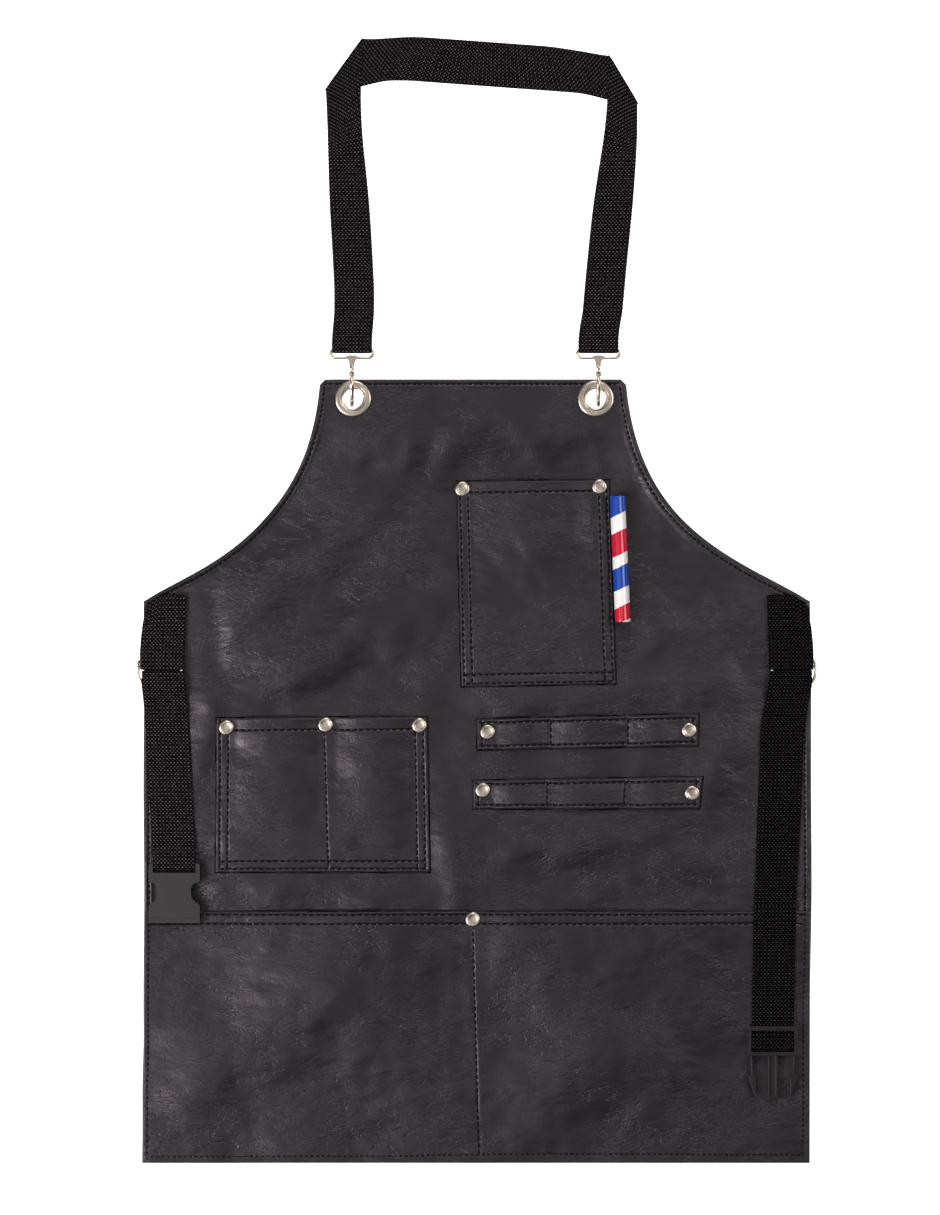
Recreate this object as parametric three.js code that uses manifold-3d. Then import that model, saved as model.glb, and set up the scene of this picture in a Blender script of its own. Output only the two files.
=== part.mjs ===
// A barber's bib apron of faux leather, lying flat on its back: +X right, +Y towards the neck, +Z up.
// Sizes are millimetres. Inside the apron group Y is measured from the bottom hem.
import * as THREE from "three";
import { mergeVertices } from "three/addons/utils/BufferGeometryUtils.js";
import Module from "manifold-3d";

const wasm = await Module();
wasm.setup();

// ---- driving dimensions ----
const LEATHER = 1.2; // one layer
const HEM = 8; // width of the turned edge
const SEAM_GAP = 0.05; // between sewn layers
const SKIRT_HALF = 298; // half the width below the arms
const SHOULDER_Y = 503; // where the arm curve meets the side
const BIB_Y = 701; // top edge of the bib
const BIB_CORNER = 5; // corner cut of the bib
const BIB_HALF = 136.8; // half the bib width below the corner cut
const BIB_SHIFT = -3.4; // the bib lies this far off the skirt's centre line
const LIFT = 8; // the snap hooks hold the bib this far off the floor
const TOTAL_Y = 1008.4; // bottom hem to the far edge of the neck strap

const EYELET_X = 108.4; // either side of the bib's centre line
const EYELET_Y = 683.7;
const EYELET_HOLE = 8.7; // radius
const EYELET_OUTER = 16.1;
const EYELET_SHIFT = -2;

const RIVET_R = 7;
const RIVET_STEM = 1.7;

const WEB_T = 1.5; // webbing thickness
const WEB_W = 37.3; // webbing width
const LOOP_W = 36.4; // webbing width where it is gathered into a ring

const HOOK_Z = 10.75; // height of the hook's ring centre, swivel and eye
const RING_Y = 13; // ring centre beyond the eyelet centre
const RING_R = 8.8; // to the middle of the wire
const WIRE = 1.8; // hook wire radius
const EYE_W = 40.4;
const EYE_BAR_Y = 44.3; // strap bar beyond the eyelet centre

const D_BAR_Y = 449.5; // straight bar of the D-ring
const D_X = 281.3;
const D_Z = 5.85;
const D_HALF = 20; // to the middle of the wire
const D_DEPTH = 23;
const D_WIRE = 1.5;

const BUCKLE_HALF = 22.8;

const COLOURS = {
  leather: [0x3a3639, 0.62, 0],
  webbing: [0x0f0d0e, 0.9, 0],
  nickel: [0xb9afa3, 0.25, 1],
  plastic: [0x262425, 0.45, 0],
  stripes: [0xe9e4e2, 0.3, 0],
};

// ---- small tools ----
const clamp01 = (t) => Math.min(1, Math.max(0, t));
const smooth = (a, b, x) => {
  const t = clamp01((x - a) / (b - a));
  return t * t * (3 - 2 * t);
};
const lerp = (a, b, t) => a + (b - a) * t;

// A closed three.js geometry as a manifold-3d solid.
function solid(geometry) {
  const g = geometry.clone();
  g.deleteAttribute("normal");
  g.deleteAttribute("uv");
  const merged = mergeVertices(g, 1e-4);
  return new wasm.Manifold(
    new wasm.Mesh({
      numProp: 3,
      vertProperties: merged.attributes.position.array,
      triVerts: new Uint32Array(merged.index.array),
    }),
  );
}

// A manifold-3d solid as a three.js geometry.
function geometryOf(made) {
  const m = made.getMesh();
  const g = new THREE.BufferGeometry();
  g.setAttribute("position", new THREE.BufferAttribute(m.vertProperties, 3));
  g.setIndex(new THREE.BufferAttribute(m.triVerts, 1));
  g.computeVertexNormals();
  return g;
}

const join = (...solids) => solids.reduce((a, b) => a.add(b));
const cut = (body, ...tools) => tools.reduce((a, b) => a.subtract(b), body);

// A sheet: a box of nu by nv cells whose points go to place(u, v, w), with w 0 below and 1 above.
function sheet(nu, nv, place) {
  const g = new THREE.BoxGeometry(1, 1, 1, nu, nv, 1);
  const p = g.attributes.position;
  for (let i = 0; i < p.count; i++)
    p.setXYZ(i, ...place(p.getX(i) + 0.5, p.getY(i) + 0.5, p.getZ(i) + 0.5));
  return g;
}

// A flat strap that follows a path of [y, z] points, with its width along X about centre(y).
function ribbon(path, width, centre) {
  const n = path.length - 1;
  const normals = path.map((_, i) => {
    const a = path[Math.max(0, i - 1)];
    const b = path[Math.min(n, i + 1)];
    const t = new THREE.Vector2(b[0] - a[0], b[1] - a[1]).normalize();
    return [-t.y, t.x];
  });
  return sheet(1, n, (u, v, w) => {
    const i = Math.round(v * n);
    const [y, z] = path[i];
    const off = (w - 0.5) * WEB_T;
    return [centre(y) + (u - 0.5) * width(y), y + off * normals[i][0], z + off * normals[i][1]];
  });
}

// Points on an arc in the YZ plane, angles in degrees from +Y towards +Z.
function arc(y, z, r, from, to, steps) {
  const out = [];
  for (let i = 0; i <= steps; i++) {
    const a = THREE.MathUtils.degToRad(lerp(from, to, i / steps));
    out.push([y + r * Math.cos(a), z + r * Math.sin(a)]);
  }
  return out;
}

function box(x0, x1, y0, y1, z0, z1) {
  return new THREE.BoxGeometry(x1 - x0, y1 - y0, z1 - z0).translate(
    (x0 + x1) / 2,
    (y0 + y1) / 2,
    (z0 + z1) / 2,
  );
}

function cylinderZ(r, z0, z1, x, y, sides = 16) {
  return new THREE.CylinderGeometry(r, r, z1 - z0, sides)
    .rotateX(Math.PI / 2)
    .translate(x, y, (z0 + z1) / 2);
}

function cylinderX(r, x0, x1, y, z, sides = 16) {
  return new THREE.CylinderGeometry(r, r, x1 - x0, sides)
    .rotateZ(Math.PI / 2)
    .translate((x0 + x1) / 2, y, z);
}

function cylinderY(r, y0, y1, x, z, sides = 16) {
  return new THREE.CylinderGeometry(r, r, y1 - y0, sides).translate(x, (y0 + y1) / 2, z);
}

// An outline of [x, y] corners given a thickness from z0 to z1.
function plate(corners, z0, z1) {
  const shape = new THREE.Shape(corners.map(([x, y]) => new THREE.Vector2(x, y)));
  return new THREE.ExtrudeGeometry(shape, { depth: z1 - z0, bevelEnabled: false }).translate(0, 0, z0);
}

// A round wire along a smooth open path of [y, z] points in the plane x = 0.
function wire(points, radius, steps) {
  const curve = new THREE.CatmullRomCurve3(points.map(([y, z]) => new THREE.Vector3(0, y, z)));
  const section = new THREE.Shape(new THREE.EllipseCurve(0, 0, radius, radius).getPoints(8).slice(0, -1));
  return new THREE.ExtrudeGeometry(section, { extrudePath: curve, steps, bevelEnabled: false });
}

// A profile of [radius, height] points turned about a vertical axis.
function turned(profile, sides) {
  const points = profile.map(([r, h]) => new THREE.Vector2(r, h));
  return new THREE.LatheGeometry(points, sides).rotateX(Math.PI / 2);
}

const apron = new THREE.Group();
apron.position.set(0, -TOTAL_Y / 2, 0);

function add(name, geometry, finish, x = 0, y = 0, z = 0) {
  const [color, roughness, metalness] = COLOURS[finish];
  const mesh = new THREE.Mesh(geometry, new THREE.MeshStandardMaterial({ color, roughness, metalness }));
  mesh.name = name;
  mesh.position.set(x, y, z);
  apron.add(mesh);
  return mesh;
}

// ---- the apron body ----
// The arm curve runs from the bib down to the shoulder; the half width between is read off it.
const ARM = new THREE.CubicBezierCurve(
  new THREE.Vector2(BIB_HALF, BIB_Y - BIB_CORNER),
  new THREE.Vector2(150, 556),
  new THREE.Vector2(258, 531),
  new THREE.Vector2(SKIRT_HALF - 1, SHOULDER_Y),
);
const ARM_POINTS = ARM.getPoints(120);

function halfWidth(y) {
  if (y <= SHOULDER_Y) return SKIRT_HALF;
  const corner = BIB_Y - BIB_CORNER;
  if (y >= corner) return BIB_HALF - (y - corner);
  const i = ARM_POINTS.findIndex((p) => p.y <= y);
  const [a, b] = [ARM_POINTS[i - 1], ARM_POINTS[i]];
  return lerp(b.x, a.x, (y - b.y) / (a.y - b.y));
}

const middle = (y) => BIB_SHIFT * smooth(520, 590, y);
const rise = (y) => LIFT * smooth(612, 670, y);
const skin = (y) => LEATHER * 2 + rise(y); // upper face of the body

const RIVETS = {
  chest_pocket_left_rivet: [-12.7, 603.2],
  chest_pocket_right_rivet: [109.9, 605.2],
  side_pocket_left_rivet: [-223.7, 389.9],
  side_pocket_middle_rivet: [-135.2, 392.3],
  side_pocket_right_rivet: [-51.2, 391.8],
  upper_loop_left_rivet: [9.8, 385.9],
  upper_loop_right_rivet: [190.1, 387.4],
  lower_loop_left_rivet: [5.5, 333.8],
  lower_loop_right_rivet: [192.8, 331.2],
  bottom_pocket_rivet: [-3.4, 218.2],
};
const rivetHoles = Object.values(RIVETS).map(([x, y]) =>
  solid(cylinderZ(RIVET_STEM + 0.3, -2, 40, x, y, 12)),
);
const eyeletX = (side) => EYELET_SHIFT + side * EYELET_X;

function apronBody() {
  const slope = 2; // the inner edge of the turned hem fades out over this width
  const rows = [0, HEM, HEM + slope, 75, 150, 222, 300, 380, 440, 495, SHOULDER_Y];
  for (let i = 11; i >= 1; i--) rows.push(ARM.getPoint(i / 12).y);
  const top = [BIB_Y - HEM - slope, BIB_Y - HEM, BIB_Y - BIB_CORNER, BIB_Y];
  const kept = rows.filter((y) => y < top[0] - 1).concat(top);
  const inner = 6;
  const nu = inner + 4;
  const nv = kept.length - 1;
  const g = sheet(nu, nv, (u, v, w) => {
    const y = kept[Math.round(v * nv)];
    const half = halfWidth(y);
    const i = Math.round(u * nu);
    const offsets = [-half, HEM - half, HEM + slope - half];
    let x;
    if (i <= 2) x = offsets[i];
    else if (i >= nu - 2) x = -offsets[nu - i];
    else x = lerp(offsets[2], -offsets[2], (i - 2) / inner);
    const inHem = i <= 1 || i >= nu - 1 || y <= HEM || y >= BIB_Y - HEM;
    const low = inHem ? 0 : LEATHER;
    return [x + middle(y), y, rise(y) + (w ? LEATHER * 2 : low)];
  });
  const eyeletHoles = [-1, 1].map((side) =>
    solid(cylinderZ(EYELET_HOLE + 1.3, 0, 40, eyeletX(side), EYELET_Y, 24)),
  );
  return geometryOf(cut(solid(g), ...rivetHoles, ...eyeletHoles));
}
add("apron_body", apronBody(), "leather");

// ---- pockets and tool loops ----
// A panel sewn to the body. corners run bottom left, bottom right, top right, top left. Between the seams of
// each cell, given as shares of the width, the panel arches like a sine; mouth(v) is the height of that arch.
const CELL_STEPS = 8;
function panel(corners, cells, rows, mouth) {
  const [bl, br, tr, tl] = corners;
  const columns = [0];
  const arches = [0];
  for (const [a, b] of cells)
    for (let k = 0; k <= CELL_STEPS; k++) {
      columns.push(lerp(a, b, k / CELL_STEPS));
      arches.push(Math.sin((Math.PI * k) / CELL_STEPS) ** 0.8);
    }
  columns.push(1);
  arches.push(0);
  const nu = columns.length - 1;
  const g = sheet(nu, rows, (s, v, w) => {
    const i = Math.round(s * nu);
    const u = columns[i];
    const x = lerp(lerp(bl[0], br[0], u), lerp(tl[0], tr[0], u), v);
    const y = lerp(lerp(bl[1], br[1], u), lerp(tl[1], tr[1], u), v);
    return [x, y, skin(y) + SEAM_GAP + mouth(v) * Math.max(0, arches[i]) + w * LEATHER];
  });
  return geometryOf(cut(solid(g), ...rivetHoles));
}

const BOTTOM_POCKET = [
  [-297.5, 0.5],
  [297.5, 0.5],
  [297.5, 225.5],
  [-297.5, 225.5],
];
const BOTTOM_CELLS = [
  [0.13, 0.475],
  [0.515, 0.87],
];
add("bottom_pocket", panel(BOTTOM_POCKET, BOTTOM_CELLS, 8, (v) => 10 * smooth(0.06, 0.7, v)), "leather");

const SIDE_POCKET = [
  [-233.8, 260.4],
  [-41.8, 260.4],
  [-44.3, 399.4],
  [-232.7, 398.4],
];
const SIDE_CELLS = [
  [0.095, 0.475],
  [0.565, 0.92],
];
add("side_pocket", panel(SIDE_POCKET, SIDE_CELLS, 7, (v) => 8 * smooth(0.1, 0.7, v)), "leather");

const CHEST_POCKET = [
  [-13.7, 426.4],
  [124.6, 429.0],
  [118.5, 611.3],
  [-17.9, 610.0],
];
add("chest_pocket", panel(CHEST_POCKET, [[0.1, 0.88]], 8, (v) => 9 * smooth(0.07, 0.7, v)), "leather");

const UPPER_LOOPS = [
  [0.6, 369.8],
  [198.0, 373.6],
  [198.7, 401.9],
  [-0.1, 397.4],
];
const LOWER_LOOPS = [
  [-3.1, 317.2],
  [199.5, 317.2],
  [202.1, 345.8],
  [-3.4, 342.4],
];
const LOOP_CELLS = [
  [0.088, 0.32],
  [0.345, 0.665],
  [0.69, 0.912],
];
for (const [name, corners] of [
  ["upper_tool_loops", UPPER_LOOPS],
  ["lower_tool_loops", LOWER_LOOPS],
])
  add(name, panel(corners, LOOP_CELLS, 1, () => 8), "leather");

// ---- the striped tube beside the chest pocket ----
const TUBE = { r: 7, bore: 5.4, length: 113, x: 125.6, top: 597, lean: 2.5 };
const tubeProfile = [
  [TUBE.bore, 0],
  [TUBE.r, 0],
  [TUBE.r, TUBE.length],
  [TUBE.bore, TUBE.length],
  [TUBE.bore, 0],
];
const tube = add(
  "striped_tube",
  turned(tubeProfile, 24).rotateX(Math.PI / 2),
  "stripes",
  TUBE.x,
  TUBE.top,
  LEATHER * 2 + TUBE.r + 0.1,
);
tube.rotation.z = THREE.MathUtils.degToRad(TUBE.lean);

// ---- rivets ----
const CAP = [
  [0, 2.4],
  [3.8, 2.2],
  [4.6, 1.7],
  [6.3, 1.4],
  [RIVET_R, 0.4],
  [6.7, 0],
  [RIVET_STEM + 0.2, 0],
  [RIVET_STEM + 0.2, 1.1],
  [0, 1.1],
].reverse();
const POST = [
  [0, 0],
  [6, 0],
  [6, 0.9],
  [RIVET_STEM, 0.9],
  [RIVET_STEM, 4.5],
  [0, 4.5],
];
for (const [name, [x, y]] of Object.entries(RIVETS)) {
  add(name + "_cap", turned(CAP, 14), "nickel", x, y, skin(y) + SEAM_GAP + LEATHER + 0.05);
  add(name + "_post", turned(POST, 10), "nickel", x, y, rise(y) + 0.15);
}

// ---- eyelets: a flanged barrel from the front and a washer behind ----
const EYELET = [
  [EYELET_HOLE, -3.6],
  [EYELET_HOLE + 0.9, -3.6],
  [EYELET_HOLE + 0.9, 0.05],
  [EYELET_OUTER, 0.05],
  [EYELET_OUTER, 0.4],
  [15.2, 1.0],
  [12.2, 1.05],
  [11.1, 1.45],
  [9.8, 1.6],
  [EYELET_HOLE, 1.1],
  [EYELET_HOLE, -3.6],
];
const WASHER = [
  [EYELET_HOLE + 1.1, -3.5],
  [EYELET_OUTER, -3.5],
  [EYELET_OUTER, -2.6],
  [EYELET_HOLE + 1.1, -2.6],
  [EYELET_HOLE + 1.1, -3.5],
];
const SIDES = { left: -1, right: 1 };
for (const [name, side] of Object.entries(SIDES)) {
  const z = LEATHER * 2 + LIFT;
  add(name + "_eyelet", turned(EYELET, 22), "nickel", eyeletX(side), EYELET_Y, z);
  add(name + "_eyelet_washer", turned(WASHER, 22), "nickel", eyeletX(side), EYELET_Y, z);
}

// ---- swivel snap hooks: Y from the eyelet centre, Z from the floor, x = 0 in the ring's plane ----
const onRing = (deg) => arc(RING_Y, HOOK_Z, RING_R, deg, deg, 1)[0];
const GATE_PIN = [21.4, 14.7];
const GATE_BARREL = 1.6;

function hookBody() {
  const bend = [-8, -25, -45, -68, -92].map(onRing);
  const nose = [
    [4, 2.3],
    [-1.6, 3.6],
    [-5.2, 6.8],
    [-5, 10.6],
    [-1.9, 13.3],
  ];
  const boss = box(-2.3, 2.3, 19.9, 24.2, 7.4, 16.6);
  const slot = box(-1.35, 1.35, 18, 23.5, 12.5, 20);
  const stem = cylinderY(0.9, 23.9, 28, 0, HOOK_Z, 12);
  const head = cylinderY(1.6, 27.4, 28.6, 0, HOOK_Z, 12);
  const pinHole = cylinderX(0.95, -4, 4, ...GATE_PIN, 12);
  const shank = join(solid(boss), solid(stem), solid(head), solid(wire([...bend, ...nose], WIRE, 20)));
  return geometryOf(cut(shank, solid(slot), solid(pinHole)));
}

function hookGate() {
  const front = [31, 45, 60, 75, 90, 108, 125].map(onRing);
  const path = [[GATE_PIN[0] - 0.6, GATE_PIN[1]], ...front.slice(1), [4.2, 16.7], [0.7, 15.1]];
  const barrel = cylinderX(GATE_BARREL, -1.1, 1.1, ...GATE_PIN, 12);
  const side = 12;
  const arm = solid(wire(path, WIRE - 0.2, 12));
  const thin = solid(box(-1.1, 1.1, 17, 26, 5, 25));
  const wide = solid(box(-side, side, -side, 17.4, 0, 30));
  const narrowed = arm.intersect(thin.add(wide));
  return geometryOf(cut(narrowed.add(solid(barrel)), solid(cylinderX(0.95, -4, 4, ...GATE_PIN, 12))));
}

function hookEye() {
  const z0 = HOOK_Z - 1.6;
  const z1 = HOOK_Z + 1.6;
  const half = EYE_W / 2;
  const low = 35;
  const high = EYE_BAR_Y + 1.6;
  const corner = 2.5;
  const outline = [
    [-half + corner, low],
    [half - corner, low],
    [half, low + corner],
    [half, high - corner],
    [half - corner, high],
    [-half + corner, high],
    [-half, high - corner],
    [-half, low + corner],
  ];
  const window = box(-half + 1.6, half - 1.6, low + 3.2, high - 3.2, 0, 30);
  const post = [
    [-5.1, low + 1],
    [-3.4, low - 2.2],
    [-2.7, 27],
    [2.7, 27],
    [3.4, low - 2.2],
    [5.1, low + 1],
  ];
  const collar = box(-2.7, 2.7, 24.4, 29.9, HOOK_Z - 2.6, HOOK_Z + 2.6);
  const bore = cylinderY(1.15, 24, 28, 0, HOOK_Z, 12);
  const pocket = box(-1.9, 1.9, 27.1, 29.0, 0, HOOK_Z + 1.9);
  const frame = join(
    cut(solid(plate(outline, z0, z1)), solid(window)),
    solid(plate(post, z0, z1)),
    solid(collar),
  );
  return geometryOf(cut(frame, solid(bore), solid(pocket)));
}

const HOOK_X = { left: -111.4, right: 108.6 };
const eye = hookEye();
const hook = hookBody();
const gate = hookGate();
const gatePin = cylinderX(0.7, -2.9, 2.9, ...GATE_PIN, 12);
// The gate's return spring is a bent leaf in the boss, under and behind the gate's barrel.
const leaf = plate(
  [
    [20.2, 12.55],
    [23.45, 12.55],
    [23.45, 15.6],
    [23.2, 15.6],
    [23.2, 12.8],
    [20.2, 12.8],
  ],
  -1,
  1,
)
  .rotateX(Math.PI / 2)
  .rotateZ(Math.PI / 2);
for (const [name, x] of Object.entries(HOOK_X)) {
  add(name + "_hook_eye", eye, "nickel", x, EYELET_Y);
  add(name + "_hook", hook, "nickel", x, EYELET_Y);
  add(name + "_hook_gate", gate, "nickel", x, EYELET_Y);
  add(name + "_gate_pin", gatePin, "nickel", x, EYELET_Y);
  add(name + "_gate_spring", leaf, "nickel", x, EYELET_Y);
}

// ---- neck strap: two risers and a top band, folded flat on the diagonal at both corners ----
const BAND_Z = 0.1 + WEB_T / 2;
const RISER_Z = BAND_Z + WEB_T + 0.2;
const BAND_W = 39.6;
const FOLD = {
  left: [new THREE.Vector2(-134.9, 959.5), new THREE.Vector2(-101.5, 1006)],
  right: [new THREE.Vector2(117.5, 991), new THREE.Vector2(143.6, 947.5)],
};

// The middle of the band: a straight slope that droops a little towards both folds.
const bandMiddle = (x) => 984.2 - 0.0727 * x - 3 * smooth(-55, -105, x) - smooth(95, 120, x);

// Everything within reach on the inner side of a fold line, or a strip along it.
function alongFold([a, b], before, after, past, z0, z1) {
  const along = b.clone().sub(a).normalize();
  const out = new THREE.Vector2(-along.y, along.x);
  const at = (p, s, t) => [p.x + along.x * s + out.x * t, p.y + along.y * s + out.y * t];
  return solid(
    plate([at(a, -past, -before), at(b, past, -before), at(b, past, after), at(a, -past, after)], z0, z1),
  );
}

// The risers leave the eyes straight, then lean outwards and narrow towards the folds.
const RISERS = {
  left: { foot: HOOK_X.left, shift: 2, from: 780, lean: -0.029, narrow: 29 },
  right: { foot: HOOK_X.right, shift: 3, from: 750, lean: 0.0474, narrow: 27.6 },
};

function riser({ foot, shift, from, lean, narrow }) {
  const bar = EYELET_Y + EYE_BAR_Y;
  const r = 1.6 + 0.9 + WEB_T / 2;
  const tail = [
    [752, 9.4],
    [743, 9.5],
    [735, 8.3],
  ];
  const main = [
    [735, 13.2],
    [743, 11.3],
    [752, 11.1],
    [800, 8.6],
    [840, 6.4],
    [880, 4.6],
    [910, 3.4],
    [940, RISER_Z],
    [1000, RISER_Z],
  ];
  const path = [...tail, ...arc(bar, HOOK_Z, r, -70, -290, 10), ...main];
  const centre = (y) => foot + shift * smooth(733, 765, y) + lean * Math.max(0, y - from) ** 1.15;
  const width = (y) => lerp(EYE_W - 5, narrow, smooth(840, 960, y));
  return solid(ribbon(path, width, centre));
}

function neckStrap() {
  const reach = 400;
  const strip = (low, high, z0, z1) =>
    solid(
      sheet(20, 1, (u, v, w) => {
        const x = lerp(-160, 160, u);
        return [x, bandMiddle(x) + lerp(low, high, v), lerp(z0, z1, w)];
      }),
    );
  const insideLeft = alongFold(FOLD.left, reach, 0, reach, -5, 40);
  const insideRight = alongFold(FOLD.right, reach, 0, reach, -5, 40);
  const underTop = strip(-reach, BAND_W / 2, -5, 40);
  const top = RISER_Z + WEB_T / 2;
  const edge = (fold) => alongFold(fold, 1, 1, -0.6, BAND_Z - WEB_T / 2, top);
  return geometryOf(
    join(
      strip(-BAND_W / 2, BAND_W / 2, BAND_Z - WEB_T / 2, BAND_Z + WEB_T / 2)
        .intersect(insideLeft)
        .intersect(insideRight),
      riser(RISERS.left).intersect(insideLeft).intersect(underTop),
      riser(RISERS.right).intersect(insideRight).intersect(underTop),
      edge(FOLD.left),
      edge(FOLD.right),
    ),
  );
}
add("neck_strap", neckStrap(), "webbing");

// ---- side tabs, D-rings and waist straps ----
const webLow = LEATHER * 2 + SEAM_GAP + WEB_T / 2; // middle of a strap lying on the body
const loopR = D_Z - webLow;

function sideTab(side) {
  const foldY = 446.3;
  const path = [
    [499, webLow],
    [foldY, webLow],
    ...arc(foldY, D_Z, loopR, -90, -270, 10).slice(1),
    [456, D_Z + loopR],
    [465, webLow + WEB_T + 0.25],
    [499, webLow + WEB_T + 0.2],
  ];
  const width = (y) => lerp(LOOP_W, WEB_W + 1.5, smooth(452, 466, y));
  return ribbon(path, width, () => side * D_X);
}

// The D-ring: a torus whose circle is replaced by the D outline.
function dRing() {
  const small = 1.9;
  const big = 12;
  const outline = new THREE.Path();
  outline.moveTo(0, 0);
  outline.lineTo(D_HALF - small, 0);
  outline.absarc(D_HALF - small, -small, small, Math.PI / 2, 0, true);
  outline.lineTo(D_HALF, big - D_DEPTH);
  outline.absarc(D_HALF - big, big - D_DEPTH, big, 0, -Math.PI / 2, true);
  outline.lineTo(big - D_HALF, -D_DEPTH);
  outline.absarc(big - D_HALF, big - D_DEPTH, big, -Math.PI / 2, -Math.PI, true);
  outline.lineTo(-D_HALF, -small);
  outline.absarc(small - D_HALF, -small, small, Math.PI, Math.PI / 2, true);
  outline.lineTo(0, 0);
  const steps = 44;
  const around = 6;
  const points = outline.getSpacedPoints(steps).slice(0, steps);
  const ring = 100;
  const g = new THREE.TorusGeometry(ring, D_WIRE, around, steps);
  const p = g.attributes.position;
  for (let i = 0; i < p.count; i++) {
    const turn = Math.atan2(p.getY(i), p.getX(i)) / (2 * Math.PI);
    const k = Math.round(((1 - turn) % 1) * steps) % steps; // the outline runs clockwise
    const out = Math.hypot(p.getX(i), p.getY(i)) - ring;
    const ahead = points[(k + 1) % steps].clone().sub(points[(k + steps - 1) % steps]);
    ahead.normalize();
    p.setXYZ(i, points[k].x - ahead.y * out, points[k].y + ahead.x * out, p.getZ(i));
  }
  return g;
}

// Where a strap wraps the curved side of its D-ring, from the hidden tail to the strap's upper side.
function ringEnd() {
  const foldY = 436.1;
  return [
    [403, webLow],
    ...arc(foldY, D_Z, loopR, -90, 90, 10),
    [424, D_Z + loopR],
    [416, webLow + WEB_T + 0.35],
    [405, webLow + WEB_T + 0.2],
    [396, webLow + 0.1],
  ];
}

const strapWidth = (y) => lerp(LOOP_W, WEB_W, smooth(425, 400, y));

const FEMALE = { x: -269.8, bar: 264.8, top: 260.5, mouth: 215.6, z: 8.7, half: 4.5 };
const MALE = { x: 264.6, bar: 109.5, top: 123.5, foot: 97, tip: 57.3, z: 7.5, low: 3.85 };
const BAR_R = 1.5;
const wrapR = BAR_R + 0.4 + WEB_T / 2;

// Each waist strap bends freely above its buckle, so its last stretch is a node of its own.
const LEFT_BEND = 306;
const RIGHT_BEND = 142;
const BEND_GAP = 0.15;
const onPocket = webLow + LEATHER + SEAM_GAP;
const leftX = (y) => lerp(FEMALE.x, -D_X, smooth(250, 425, y));
const rightX = (y) => lerp(MALE.x, D_X, smooth(200, 425, y));

const leftStrap = [...ringEnd(), [320, webLow], [LEFT_BEND + BEND_GAP, webLow]];
const leftStrapEnd = [
  [LEFT_BEND - BEND_GAP, webLow],
  [301, webLow + 0.1],
  [293, webLow + WEB_T + 0.3],
  [280, webLow + WEB_T + 2.2],
  [270, FEMALE.z + wrapR],
  ...arc(FEMALE.bar, FEMALE.z, wrapR, 90, 270, 10),
  [270, FEMALE.z - wrapR],
  [280, webLow + 0.6],
  [289, webLow],
];
const rightStrap = [
  ...ringEnd(),
  [240, webLow],
  [228, onPocket + 0.1],
  [180, onPocket],
  [RIGHT_BEND + BEND_GAP, onPocket],
];
const rightStrapEnd = [
  [RIGHT_BEND - BEND_GAP, onPocket],
  [138, onPocket + 0.1],
  [131, onPocket + WEB_T + 0.3],
  [126, onPocket + WEB_T + 0.2],
  [119, onPocket + WEB_T + 0.4],
  [115, MALE.z + wrapR - 0.6],
  ...arc(MALE.bar, MALE.z, wrapR, 75, 270, 11),
  [114, onPocket + 0.1],
  [127, onPocket],
];

add("left_side_tab", sideTab(-1), "webbing");
add("right_side_tab", sideTab(1), "webbing");
add("left_d_ring", dRing(), "nickel", -D_X, D_BAR_Y, D_Z);
add("right_d_ring", dRing(), "nickel", D_X, D_BAR_Y, D_Z);
add("left_waist_strap", ribbon(leftStrap, strapWidth, leftX), "webbing");
add("left_strap_end", ribbon(leftStrapEnd, strapWidth, leftX), "webbing");
add("right_waist_strap", ribbon(rightStrap, strapWidth, rightX), "webbing");
add("right_strap_end", ribbon(rightStrapEnd, strapWidth, rightX), "webbing");

// ---- side-release buckle, female half: a flat shell with a mouth, two finger notches and a strap bar ----
function buckleSocket() {
  const { top, mouth, z, half, bar } = FEMALE;
  const ear = 268.8;
  const notch = { low: 231.8, high: 252.4, deep: 7.9 };
  const right = [
    [BUCKLE_HALF, mouth],
    [BUCKLE_HALF, notch.low],
    [BUCKLE_HALF - notch.deep + 2, notch.low + 4],
    [BUCKLE_HALF - notch.deep, notch.low + 8],
    [BUCKLE_HALF - notch.deep, notch.high - 6],
    [BUCKLE_HALF - notch.deep + 2.5, notch.high - 1.5],
    [BUCKLE_HALF, notch.high],
    [BUCKLE_HALF, ear - 1.5],
    [BUCKLE_HALF - 1.5, ear],
    [BUCKLE_HALF - 3.6, ear],
    [BUCKLE_HALF - 3.6, top],
  ];
  const left = right.map(([x, y]) => [-x, y]).reverse();
  const shell = solid(plate([...right, ...left], z - half, z + half));
  const lip = solid(box(-BUCKLE_HALF, BUCKLE_HALF, mouth, mouth + 4.4, z - half - 0.4, z + half + 0.4));
  const cavity = solid(box(-19.6, 19.6, mouth - 5, 256, z - 3, z + 3));
  const strapBar = solid(cylinderX(BAR_R, -BUCKLE_HALF + 1, BUCKLE_HALF - 1, bar, z, 12));
  return geometryOf(join(cut(shell.add(lip), cavity), strapBar));
}
add("buckle_socket", buckleSocket(), "plastic", FEMALE.x);

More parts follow.
